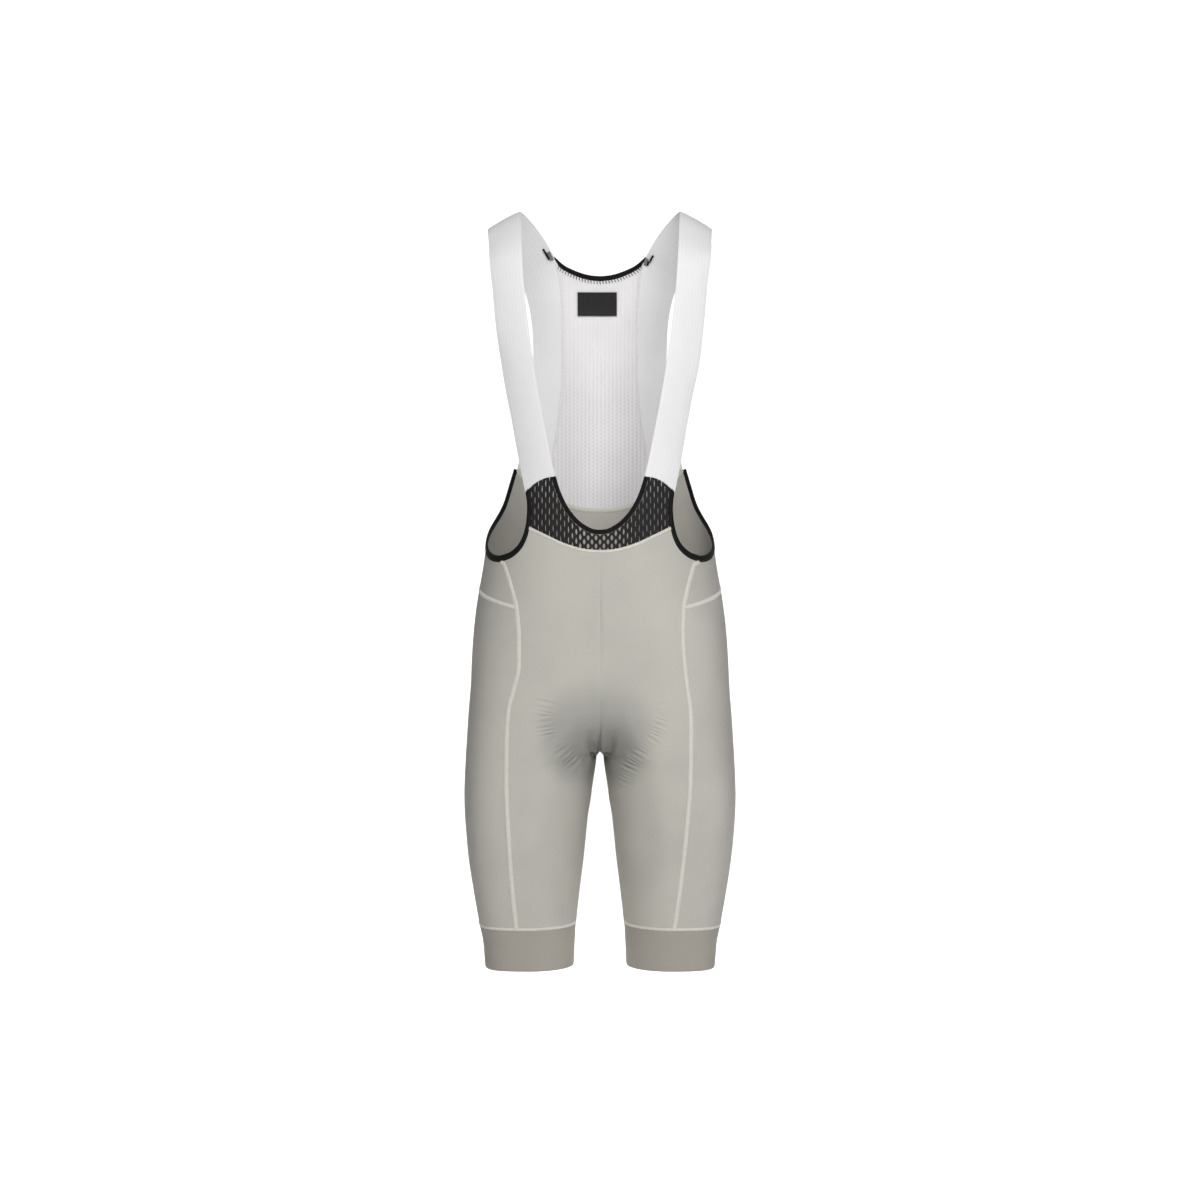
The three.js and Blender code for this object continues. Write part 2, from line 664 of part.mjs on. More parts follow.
// The shorts: front, side yoke, side, back and gripper of each leg.
const SIDES = [
  { name: "left", side: -1 },
  { name: "right", side: 1 },
];
for (const { name, side } of SIDES) {
  const frontSeam = SEAM_LEVELS.map((z) => [shareAtX(columnAt(FRONT_SEAM, name, z), z, false), z]);
  frontSeam[0] = armEdge[ARM_FRONT_END];
  const evenly = (from, to, steps) => Array.from({ length: steps + 1 }, (_, i) => [
    lerp(from[0], to[0], i / steps), lerp(from[1], to[1], i / steps),
  ]);

  const frontTop = [...netSeamFine, ...armEdge.slice(ARM_NET_END + 1, ARM_FRONT_END + 1)];
  const last = SEAM_LEVELS.length - 1;
  const frontHem = evenly(centreFront[last], frontSeam[last], frontTop.length - 1);
  const front = panelGrid(centreFront, frontSeam, frontTop, frontHem);
  addPiece(`front_${name}`, gridWall(trimEdges(front, ["top", "bottom", "left", "right"]), FABRIC_WALL, side),
    MATERIALS.shorts);

  const yokeTop = armEdge.slice(ARM_FRONT_END, ARM_YOKE_END + 1);
  const yokeHem = evenly(frontSeam[YOKE_LEVELS], backSeam[YOKE_LEVELS], yokeTop.length - 1);
  const yoke = panelGrid(frontSeam.slice(0, YOKE_LEVELS + 1), backSeam.slice(0, YOKE_LEVELS + 1),
    yokeTop, yokeHem);
  addPiece(`side_yoke_${name}`, gridWall(trimEdges(yoke, ["top", "bottom", "left", "right"]), FABRIC_WALL, side),
    MATERIALS.side);

  const sideHem = evenly(frontSeam[last], backSeam[last], yokeTop.length - 1);
  const sidePanel = panelGrid(frontSeam.slice(YOKE_LEVELS), backSeam.slice(YOKE_LEVELS), yokeHem, sideHem);
  addPiece(`side_${name}`, gridWall(trimEdges(sidePanel, ["top", "bottom", "left", "right"]), FABRIC_WALL, side),
    MATERIALS.side);

  const backTop = [...armEdge.slice(ARM_YOKE_END), ...backTopSeam.slice(1)];
  const backHem = evenly(backSeam[last], centreBack[last], backTop.length - 1);
  const back = panelGrid(backSeam, centreBack, backTop, backHem);
  addPiece(`back_${name}`, gridWall(trimEdges(back, ["top", "bottom", "left", "right"]), FABRIC_WALL, side),
    MATERIALS.shorts);

  const round = [...frontHem, ...sideHem.slice(1), ...backHem.slice(1, -1)];
  const gripper = [GRIPPER_SEAM_Z, (GRIPPER_SEAM_Z + HEM_Z) / 2, HEM_Z].map((z) => (
    round.map(([share]) => clothPoint(share, z))
  ));
  addPiece(`gripper_${name}`, gridWall(trimEdges(gripper, ["top"]), FABRIC_WALL, side, true),
    MATERIALS.gripper);
}

// Strap of one side as a grid of cloth points: a row for each station, five points across.
const STRAP_COLUMNS = 4;
function strapGrid() {
  const across = Array.from({ length: STRAP_COLUMNS + 1 }, (_, i) => i / STRAP_COLUMNS);
  const onFigure = (table, behind) => table.map((row) => across.map((u) => (
    clothAtX(lerp(row.outX, row.inX, u), lerp(row.outZ, row.inZ, u), behind).point
  )));
  const free = STRAP_SHOULDER.map((row) => across.map((u) => new THREE.Vector3(
    lerp(row.outX, row.inX, u),
    lerp(row.outY, row.inY, u),
    lerp(row.outZ, row.inZ, u) + 1.5 * Math.sin(Math.PI * u),
  )));
  const foot = STRAP_FOOT.map(({ x, z }) => clothAtX(x, z, false).point);
  const end = backTopSeam.slice(0, STRAP_SEAM_STEPS + 1).map(([share, z]) => clothPoint(share, z).point);
  return [foot, ...onFigure(STRAP_FRONT, false), ...free, ...onFigure(STRAP_BACK, true), end];
}

// Outward directions of a grid of bare points, from its neighbours; away is a point inside.
function withNormals(points, away) {
  const rows = points.length - 1;
  const columns = points[0].length - 1;
  return points.map((line, j) => line.map((point, i) => {
    const down = points[Math.min(j + 1, rows)][i].clone().sub(points[Math.max(j - 1, 0)][i]);
    const over = line[Math.min(i + 1, columns)].clone().sub(line[Math.max(i - 1, 0)]);
    const normal = down.cross(over).normalize();
    if (normal.dot(point.clone().sub(away)) < 0) {
      normal.negate();
    }
    return { point, normal };
  }));
}
const STRAP_INSIDE = new THREE.Vector3(60, 0, -160);
const strapPoints = strapGrid();
const strap = withNormals(strapPoints, STRAP_INSIDE);
const lastStrapRow = strap.length - 1;
strap[0] = STRAP_FOOT.map(({ x, z }) => clothAtX(x, z, false));
strap[lastStrapRow] = backTopSeam.slice(0, STRAP_SEAM_STEPS + 1).map(([share, z]) => clothPoint(share, z));
for (const { name, side } of SIDES) {
  addPiece(`strap_${name}`, gridWall(trimEdges(strap, ["top", "bottom", "right"]), STRAP_WALL, side),
    MATERIALS.strap);
}

// Binding of the back neck, which starts along the strap's edge, and the back mesh between the
// straps, from that binding down to the shorts.
const mirrored = ({ point, normal }) => ({
  point: new THREE.Vector3(-point.x, point.y, point.z),
  normal: new THREE.Vector3(-normal.x, normal.y, normal.z),
});
const MESH_TOP_ROW = STRAP_FRONT.length + STRAP_SHOULDER.length;
const neckStart = strap[MESH_TOP_ROW - 1][STRAP_COLUMNS];
const meshSide = strap.slice(MESH_TOP_ROW).map((line) => line[STRAP_COLUMNS]);
const backNeckHalf = [neckStart, ...BACK_NECK.map(({ x, z }) => clothAtX(x, z, true))];
const backNeckEdge = [...backNeckHalf, ...backNeckHalf.slice(0, -1).reverse().map(mirrored)];
const BELOW_NECK = new THREE.Vector3(0, 85, -400);
const backNeckWidths = backNeckEdge.map(() => BACK_NECK_BINDING_WIDTH);
const backNeckTape = bindingGrid(backNeckEdge, backNeckWidths, BELOW_NECK, meshSide[0].point);
backNeckTape[backNeckTape.length - 1] = backNeckTape[0].map(mirrored);
addPiece("back_neck_binding", gridWall(backNeckTape, BINDING_WALL, 1), MATERIALS.binding);

const underTape = backNeckTape.slice(0, backNeckHalf.length).map(([near, , far]) => {
  const down = far.point.clone().sub(near.point).normalize();
  return { point: far.point.clone().addScaledVector(down, SEAM_GAP), normal: far.normal };
});
underTape[0] = meshSide[0];
const placeOf = ({ point }) => [shareAtX(Math.max(0, point.x), point.z, true), point.z];
const meshMiddle = meshSide.map((_, j) => [
  1, lerp(underTape[underTape.length - 1].point.z, -355, j / (meshSide.length - 1)),
]);
const meshHalf = panelGrid(meshSide.map(placeOf), meshMiddle, underTape.map(placeOf),
  backTopSeam.slice(STRAP_SEAM_STEPS));
meshHalf[0] = underTape;
meshHalf.forEach((line, j) => {
  line[0] = meshSide[j];
});
const backMesh = meshHalf.map((line) => [...line, ...line.slice(0, -1).reverse().map(mirrored)]);
addPiece("back_mesh", gridWall(trimEdges(backMesh, ["bottom", "left", "right"]), STRAP_WALL, 1), MATERIALS.mesh);

// Bare label sewn inside the back neck, in front of the mesh.
const LABEL_OFFSET = STRAP_WALL / 2 + LABEL_WALL / 2 + 1.1;
const labelGrid = [0, 1, 2].map((j) => [0, 1, 2, 3, 4].map((i) => {
  const x = LABEL_X + LABEL_WIDTH * (i / 4 - 0.5);
  const z = LABEL_Z + LABEL_HEIGHT * (0.5 - j / 2);
  const { point, normal } = clothAtX(Math.abs(x), z, true);
  if (x < 0) {
    point.x *= -1;
    normal.x *= -1;
  }
  return { point: point.addScaledVector(normal, -LABEL_OFFSET), normal };
}));
addPiece("neck_label", gridWall(labelGrid, LABEL_WALL, 1), MATERIALS.label);

// Arm opening bindings.
const ARM_OPEN_POINT = new THREE.Vector3(128, 0, -360);
const armEdgePoints = armEdge.map(([share, z]) => clothPoint(share, z));
const strapCorner = clothAtX(STRAP_FOOT[0].x, STRAP_FOOT[0].z, false).point;
for (const { name, side } of SIDES) {
  const tape = bindingGrid(armEdgePoints, ARM_EDGE.map((row) => row.width), ARM_OPEN_POINT, strapCorner);
  addPiece(`arm_binding_${name}`, gridWall(tape, BINDING_WALL, side), MATERIALS.binding);
}

// Front neckline binding: its inner edge is the neckline, the net starts along its outer edge.
const necklineHalf = NECKLINE.map(({ x, z }) => clothAtX(x, z, false));
const neckline = [...necklineHalf.slice(1).reverse().map(mirrored), ...necklineHalf];
const NET_SIDE_POINT = new THREE.Vector3(0, -110, -600);
const neckTape = neckline.map(({ point, normal }, n) => {
  const next = neckline[Math.min(n + 1, neckline.length - 1)].point;
  const previous = neckline[Math.max(n - 1, 0)].point;
  const run = next.clone().sub(previous).normalize();
  const across = new THREE.Vector3().crossVectors(normal, run).normalize();
  if (across.dot(NET_SIDE_POINT.clone().sub(point)) < 0) {
    across.negate();
  }
  return [0, 0.5, 1].map((share) => ({
    point: point.clone().addScaledVector(across, share * (NECK_BINDING_WIDTH - SEAM_GAP / 2))
      .addScaledVector(normal, share === 0.5 ? BINDING_RISE : 0),
    normal,
  }));
});
addPiece("neckline_binding", gridWall(neckTape, BINDING_WALL, 1), MATERIALS.binding);

// Belly net: an outline in flat measures (way round from the middle, height) with its slots cut
// through, laid on the figure.
const flatOf = (x, z) => [Math.sign(x) * shareAtX(Math.abs(x), z, false) * figureRow(z).girth, z];
const flatOfShare = ([share, z]) => [share * figureRow(z).girth, z];
function clothFromFlat([way, z]) {
  const made = clothPoint(Math.abs(way) / figureRow(z).girth, z);
  return way < 0 ? mirrored(made) : made;
}
const netHalf = [];
netSeamFine.forEach((place) => netHalf.push(flatOfShare(place)));
for (let n = ARM_NET_END - 1; n >= 0; n -= 1) {
  netHalf.push(flatOfShare(armEdge[n]));
}
STRAP_FOOT.slice(1, -1).forEach(({ x, z }) => netHalf.push(flatOf(x, z)));
const tapeOuter = neckTape.slice(neckline.length - NECKLINE.length).map((line) => line[2].point);
for (let n = tapeOuter.length - 1; n >= 0; n -= 1) {
  const { x, z } = tapeOuter[n];
  netHalf.push(flatOf(x, z));
}
const insideTop = netHalf.length;
const netOutline = [
  ...netHalf,
  ...netHalf.slice(1, insideTop - 1).reverse().map(([way, z]) => [-way, z]),
];
const outlineTurn = Math.sign(netOutline.reduce((sum, p, n) => {
  const q = netOutline[(n + 1) % netOutline.length];
  return sum + p[0] * q[1] - q[0] * p[1];
}, 0));
const netEdge = netOutline.map((p, n) => {
  const next = netOutline[(n + 1) % netOutline.length];
  const last = netOutline[(n + netOutline.length - 1) % netOutline.length];
  const inward = new THREE.Vector2(last[1] - next[1], next[0] - last[0]).normalize();
  return [p[0] + outlineTurn * inward.x * 0.2, p[1] + outlineTurn * inward.y * 0.2];
});
const isInside = ([px, pz]) => {
  let within = false;
  netEdge.forEach(([x1, z1], n) => {
    const [x2, z2] = netEdge[(n + 1) % netEdge.length];
    if ((z1 > pz) !== (z2 > pz) && px < x1 + ((pz - z1) / (z2 - z1)) * (x2 - x1)) {
      within = !within;
    }
  });
  return within;
};
const HOLE_CORNERS = [[0, 0.5], [0.5, 0.26], [0.5, -0.26], [0, -0.5], [-0.5, -0.26], [-0.5, 0.26]];
const holes = [];
for (let row = 0; row < 18; row += 1) {
  for (let column = -24; column <= 24; column += 1) {
    if ((row + column) % 2 === 0) {
      const way = column * HOLE_PITCH_X;
      const gain = ease(clamp01((Math.abs(way) - HOLE_GAIN_FROM) / HOLE_GAIN_OVER));
      const middle = [way, HOLES_BOTTOM_Z + row * (HOLE_STEP_MIDDLE + HOLE_STEP_GAIN * gain)];
      const corner = (scaleX, scaleZ) => HOLE_CORNERS.map(([dx, dz]) => [
        middle[0] + dx * (HOLE_WIDTH + scaleX), middle[1] + dz * (HOLE_HEIGHT + scaleZ),
      ]);
      if (corner(2 * HOLE_CLEARANCE, 2 * HOLE_CLEARANCE).every(isInside)) {
        holes.push(corner(0, 0));
      }
    }
  }
}
const toFlat = (list) => list.map(([way, z]) => new THREE.Vector2(way, z));
const contour = toFlat(netEdge);
if (THREE.ShapeUtils.isClockWise(contour)) {
  contour.reverse();
}
const holeLines = holes.map((hole) => {
  const line = toFlat(hole);
  return THREE.ShapeUtils.isClockWise(line) ? line : line.reverse();
});
const netTriangles = THREE.ShapeUtils.triangulateShape(contour, holeLines);
const netPoints = [contour, ...holeLines].flat().map(({ x, y }) => clothFromFlat([x, y]));
addPiece("belly_net", wall(netPoints, netTriangles, NET_WALL, 1), MATERIALS.net);

export default garment;
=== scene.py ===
import math

import bpy
import numpy as np
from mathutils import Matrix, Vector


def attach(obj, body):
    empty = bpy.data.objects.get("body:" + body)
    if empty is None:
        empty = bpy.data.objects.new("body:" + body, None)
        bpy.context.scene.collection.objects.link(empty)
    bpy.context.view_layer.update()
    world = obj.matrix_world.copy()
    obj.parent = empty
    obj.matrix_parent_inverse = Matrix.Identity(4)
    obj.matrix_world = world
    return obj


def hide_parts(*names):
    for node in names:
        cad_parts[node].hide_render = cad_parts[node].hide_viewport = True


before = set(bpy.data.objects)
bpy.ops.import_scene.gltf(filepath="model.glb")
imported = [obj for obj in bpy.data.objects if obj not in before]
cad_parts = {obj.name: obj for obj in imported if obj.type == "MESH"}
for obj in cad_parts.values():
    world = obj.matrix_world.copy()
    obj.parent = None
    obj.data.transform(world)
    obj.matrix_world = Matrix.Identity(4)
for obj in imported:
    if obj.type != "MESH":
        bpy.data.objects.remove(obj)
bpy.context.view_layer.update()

# Camera: straight in front at the height of the waist, 2.5 m away, with a long lens.
camera_data = bpy.data.cameras.new("camera")
camera_data.lens = 62.5
camera_data.sensor_width = 36


def placed(name, data):
    """A new object in the scene."""
    made = bpy.data.objects.new(name, data)
    bpy.context.scene.collection.objects.link(made)
    return made


camera = placed("camera", camera_data)
camera.location = (0, -2.5, -0.4656)
camera.rotation_euler = (math.pi / 2, 0, 0)
bpy.context.scene.camera = camera

# Studio: a pale floor, a pale backdrop that curves up behind it no wider than the camera sees, one
# large soft light high on the right of the camera, a weaker one on its left, faint ones from the right
# and from behind, two on the backdrop, and one that lies low behind the garment and lights the floor.
FLOOR_Z = -1.24
PALE = (0.93, 0.93, 0.93, 1)
WORLD_STRENGTH = 0.015
SWEEP = [(1.2, 0.0), (1.6, 0.01), (1.9, 0.05), (2.15, 0.16), (2.3, 0.35), (2.36, 0.6), (2.38, 2.9)]
PAPERS = [
    ("floor", [(-3.2, 0.0), (1.25, 0.0)], 3.0),
    ("backdrop", SWEEP, 1.55),
]
paper = bpy.data.materials.new("pale_paper")
paper.use_nodes = True
paper.node_tree.nodes["Principled BSDF"].inputs["Base Color"].default_value = PALE
paper.node_tree.nodes["Principled BSDF"].inputs["Roughness"].default_value = 0.95
for name, profile, reach_out in PAPERS:
    sheet_points = [(x, y, FLOOR_Z + rise) for y, rise in profile for x in (-reach_out, reach_out)]
    sheet_faces = [(2 * n, 2 * n + 1, 2 * n + 3, 2 * n + 2) for n in range(len(profile) - 1)]
    sheet_mesh = bpy.data.meshes.new(name)
    sheet_mesh.from_pydata(sheet_points, [], sheet_faces)
    sheet_mesh.shade_smooth()
    sheet_mesh.materials.append(paper)
    placed(name, sheet_mesh)

LIGHTS = [
    # name, place, aimed at, width, watts
    ("key_light", (0.45, -2.3, 0.6), (0, 0, -0.3), 1.0, 32),
    ("fill_light", (-0.5, -2.0, 1.2), (0, 0, -0.2), 1.0, 24),
    ("right_light", (1.8, -1.2, -0.9), (0, 0, -0.7), 0.8, 6),
    ("back_light", (0.2, 1.6, 0.9), (0, 0, -0.2), 1.0, 2),
    ("backdrop_light_left", (-1.4, 0.9, 0.6), (-0.95, 2.38, 0.05), 0.9, 31),
    ("backdrop_light_right", (1.4, 0.9, 0.6), (0.95, 2.38, 0.05), 0.9, 31),
    ("floor_light", (0, 1.05, -0.98), (0, 1.05, FLOOR_Z), 2.0, 13),
]
for name, place, target, width, watts in LIGHTS:
    lamp = bpy.data.lights.new(name, "AREA")
    lamp.size = width
    lamp.energy = watts
    holder = placed(name, lamp)
    holder.location = place
    aim = Vector(target) - Vector(place)
    holder.rotation_euler = aim.to_track_quat("-Z", "Y").to_euler()
    holder.visible_camera = False
world = bpy.data.worlds.new("studio")
world.use_nodes = True
world.node_tree.nodes["Background"].inputs["Color"].default_value = (1, 1, 1, 1)
world.node_tree.nodes["Background"].inputs["Strength"].default_value = WORLD_STRENGTH
bpy.context.scene.world = world
bpy.context.scene.view_settings.view_transform = "Standard"

# Front panels: two pieces of a dense matt stretch knit, cut from the net down to the leg bands and
# joined on the middle line. They lie on the figure inside, so the shape of a figure comes first:
# level rows round one half, then the cloth on them with the pad outline, creases and puckers.
MM = 0.001
FABRIC_WALL = 1.5
CROTCH_Z = -700
GRIPPER_SEAM_Z = -850
HEM_Z = -901
UPPER_ROWS = [
    # z, half width, front, back
    (-30, 176, -66, 69), (-60, 173, -79, 83), (-110, 168, -93, 98), (-170, 158, -104, 106),
    (-230, 145, -108, 105), (-290, 134, -108, 97), (-340, 131, -107, 88), (-385, 134, -108, 83),
    (-420, 138, -110, 86),
]
LOWER_ROWS = [
    # z, half width, front, front x, back, back x, in x, in front y, in front z, in back y, in back z,
    # turn of the inner edge in degrees
    (-454, 144, -112, 0, 95, 20, 0, -112, -454, 94, -454, 0),
    (-490, 149, -112, 4, 108, 40, 0, -112, -490, 105, -490, 0),
    (-526, 152, -110, 14, 119, 52, 0, -110, -526, 113, -526, 0),
    (-562, 154, -107, 30, 125, 60, 0, -106, -561, 116, -560, 0),
    (-598, 156.5, -104, 48, 127, 66, 0, -96, -593, 112, -591, 8),
    (-630, 158.5, -101, 62, 124, 70, 0, -77, -617, 97, -615, 22),
    (-658, 160, -99, 73, 118, 74, 0, -50, -634, 70, -633, 38),
    (-682, 161, -97, 80, 111, 78, 0, -22, -643, 36, -642, 58),
    (-700, 161.4, -95, 84, 107, 82, 0, 6, -645.5, 6, -645.5, 77),
    (-704, 161.3, -94.5, 84.6, 105.9, 82.8, 6.8, 5.8, -650.5, 5.8, -650.5, 82),
    (-709, 161.2, -93.8, 85.3, 104.5, 83.7, 8.3, 5.6, -662, 5.6, -662, 88),
    (-722, 160.6, -92, 87, 101, 86, 11.8, 5, -690, 5, -690, 90),
    (-750, 158.2, -88, 88, 94, 87, 16.5, 3, -733, 3, -733, 90),
    (-778, 155.4, -83, 88, 87, 88, 20.4, 1, -772, 1, -772, 90),
    (-810, 150.6, -77, 87, 78, 88, 24.8, 0, -808, 0, -808, 90),
    (-850, 143.6, -69, 86, 66, 87, 29.4, -2, -850, -2, -850, 90),
    (-874, 139, -64, 85, 60, 86, 30.8, -3, -874, -3, -874, 90),
    (-901, 136.8, -61, 84, 54, 85, 32, -4, -901, -4, -901, 90),
]
FIGURE_ROWS = np.array([
    (z, half, front, 0, back, 0, 0, front, z, back, z, 0) for z, half, front, back in UPPER_ROWS
] + LOWER_ROWS)


def column_at(table, column, z):
    """Value of one column of a table at heights z, on a curve that never swings past its rows."""
    heights, values = table[:, 0], table[:, column]
    rise = np.diff(values) / np.diff(heights)
    above, below = rise[:-1], rise[1:]
    total = np.where(above + below == 0, 1, above + below)
    slope = np.where(above * below <= 0, 0, 2 * above * below / total)
    slope = np.concatenate([rise[:1], slope, rise[-1:]])
    z = np.asarray(z, dtype=float)
    i = np.clip(np.searchsorted(-heights, -z, side="right") - 1, 0, len(heights) - 2)
    span = heights[i + 1] - heights[i]
    t = (z - heights[i]) / span
    return (
        (2 * t ** 3 - 3 * t ** 2 + 1) * values[i] + (t ** 3 - 2 * t ** 2 + t) * span * slope[i]
        + (3 * t ** 2 - 2 * t ** 3) * values[i + 1] + (t ** 3 - t ** 2) * span * slope[i + 1]
    )


def ease(t):
    """Goes softly from 0 to 1."""
    t = np.clip(t, 0, 1)
    return t * t * (3 - 2 * t)


SHARES = 1001
SHARE = np.linspace(0, 1, SHARES)
ROW_Z = np.arange(FIGURE_ROWS[0, 0], HEM_Z - 1, -1)
ARC_FULLNESS = 0.6
INNER_FULLNESS = 0.55
SIDE_FULLNESS = 0.8
SIDE_FULLER_Z, SIDE_FULLER_OVER = -430, 90
SIDE_Y_SHARE = 0.3
ARC_T = np.linspace(0, 1, 61)[:, None]


def figure_row(z):
    """One level row of the figure: its points at even shares, and its girth. Four arcs lead from the
    inner edge to the front, round the side to the back, and in again."""
    _, half, front, front_x, back, back_x, in_x, front_y, front_z, back_y, back_z, turn = (
        float(column_at(FIGURE_ROWS, n, z)) for n in range(12)
    )
    turn = math.radians(min(90, max(0, turn)))
    turn_x, turn_y = math.cos(turn), math.sin(turn)
    in_x = max(0, in_x)
    front_x, back_x = max(in_x, front_x), max(in_x, back_x)
    side_y = (front + back) * SIDE_Y_SHARE
    front_lead = ARC_FULLNESS * ((front_x - in_x) * turn_x + (front_y - front) * turn_y)
    back_lead = ARC_FULLNESS * ((back_x - in_x) * turn_x + (back - back_y) * turn_y)
    fuller = float(ease((SIDE_FULLER_Z - z) / SIDE_FULLER_OVER))
    full = ARC_FULLNESS + (SIDE_FULLNESS - ARC_FULLNESS) * fuller
    part = lambda a, b, share: a + (b - a) * share
    arcs = [
        [(in_x, front_y), (in_x + front_lead * turn_x, front_y - front_lead * turn_y),
         (front_x - INNER_FULLNESS * (front_x - in_x), front), (front_x, front)],
        [(front_x, front), (part(front_x, half, full), front),
         (half, part(side_y, front, full)), (half, side_y)],
        [(half, side_y), (half, part(side_y, back, ARC_FULLNESS)),
         (part(back_x, half, ARC_FULLNESS), back), (back_x, back)],
        [(back_x, back), (back_x - INNER_FULLNESS * (back_x - in_x), back),
         (in_x + back_lead * turn_x, back_y + back_lead * turn_y), (in_x, back_y)],
    ]
    t, m = ARC_T, 1 - ARC_T
    line = [np.array([arcs[0][0]])]
    for p, q, r, s in np.array(arcs):
        line.append((m ** 3 * p + 3 * m * m * t * q + 3 * m * t * t * r + t ** 3 * s)[1:])
    line = np.concatenate(line)
    reached = np.concatenate([[0], np.cumsum(np.hypot(*np.diff(line, axis=0).T))])
    girth = reached[-1]
    side = reached[np.argmax(line[:, 0])] / girth
    x, y = (np.interp(SHARE * girth, reached, line[:, k]) for k in (0, 1))
    in_front = SHARE < side
    outwards = np.where(in_front, SHARE / side, (1 - SHARE) / (1 - side))
    end_z = np.where(in_front, front_z, back_z)
    return np.stack([x, y, end_z + (z - end_z) * ease(outwards)], axis=1), girth


def unit(directions):
    """Directions of length 1."""
    return directions / np.maximum(np.linalg.norm(directions, axis=-1, keepdims=True), 1e-9)


MIRROR = np.array([-1.0, 1.0, 1.0])
rows_made = [figure_row(z) for z in ROW_Z]
PLACE = np.array([row for row, _ in rows_made])
GIRTH = np.array([girth for _, girth in rows_made])
row_numbers = np.arange(len(ROW_Z))
SOFTENED_Z, SOFTENED_OVER, SOFTENED_FADE, SOFTENED_ROWS = -697, 45, 25, 10
SEAM_KEPT, SEAM_FADE = 0.01, 0.08
blurred = sum(
    PLACE[np.clip(row_numbers + k, 0, len(ROW_Z) - 1)] for k in range(-SOFTENED_ROWS, SOFTENED_ROWS + 1)
) / (2 * SOFTENED_ROWS + 1)
beside_seam = ease((np.minimum(SHARE, 1 - SHARE) - SEAM_KEPT) / SEAM_FADE)
near_crotch = ease((SOFTENED_OVER - abs(ROW_Z - SOFTENED_Z)) / SOFTENED_FADE)
soft = (near_crotch[:, None] * beside_seam[None, :])[..., None]
PLACE = PLACE * (1 - soft) + blurred * soft
PROBE, ROW_PROBE = 4, 2
leg_rows = (ROW_Z < CROTCH_Z)[:, None, None]
before = np.where(leg_rows, PLACE[:, -PROBE - 1:-1], PLACE[:, PROBE:0:-1] * MIRROR)
after = np.where(leg_rows, PLACE[:, 1:PROBE + 1], PLACE[:, -2:-PROBE - 2:-1] * MIRROR)
padded_rows = np.concatenate([before, PLACE, after], axis=1)
across = padded_rows[:, 2 * PROBE:] - padded_rows[:, :-2 * PROBE]
rows_below = np.minimum(row_numbers + ROW_PROBE, len(ROW_Z) - 1)
rows_above = np.maximum(row_numbers - ROW_PROBE, 0)
NORMAL = unit(np.cross(PLACE[rows_below] - PLACE[rows_above], across))
crotch = np.argmin(abs(ROW_Z - CROTCH_Z))
NORMAL[crotch, :PROBE] = NORMAL[crotch, -PROBE:] = (0, 0, -1)


def on_rows(table, share, z):
    """Value of a table of rows and shares, between its own places."""
    s = np.clip(share, 0, 1) * (SHARES - 1)
    r = np.clip(ROW_Z[0] - z, 0, len(ROW_Z) - 1)
    s0 = np.minimum(s.astype(int), SHARES - 2)
    r0 = np.minimum(r.astype(int), len(ROW_Z) - 2)
    fs, fr = (s - s0)[..., None], (r - r0)[..., None]
    upper = table[r0, s0] * (1 - fs) + table[r0, s0 + 1] * fs
    lower = table[r0 + 1, s0] * (1 - fs) + table[r0 + 1, s0 + 1] * fs
    return upper * (1 - fr) + lower * fr


def share_at_x(x, z, behind):
    """Share of the way round at which the row z reaches a distance x from the middle."""
    shares = []
    for one_x, one_z in zip(*np.broadcast_arrays(np.asarray(x, float), np.asarray(z, float))):
        row = on_rows(PLACE, SHARE, np.full(SHARES, one_z))
        side = int(np.argmax(row[:, 0]))
        if behind:
            shares.append(np.interp(one_x, row[side:, 0][::-1], SHARE[side:][::-1]))
        else:
            shares.append(np.interp(one_x, row[:side + 1, 0], SHARE[:side + 1]))
    return np.array(shares)


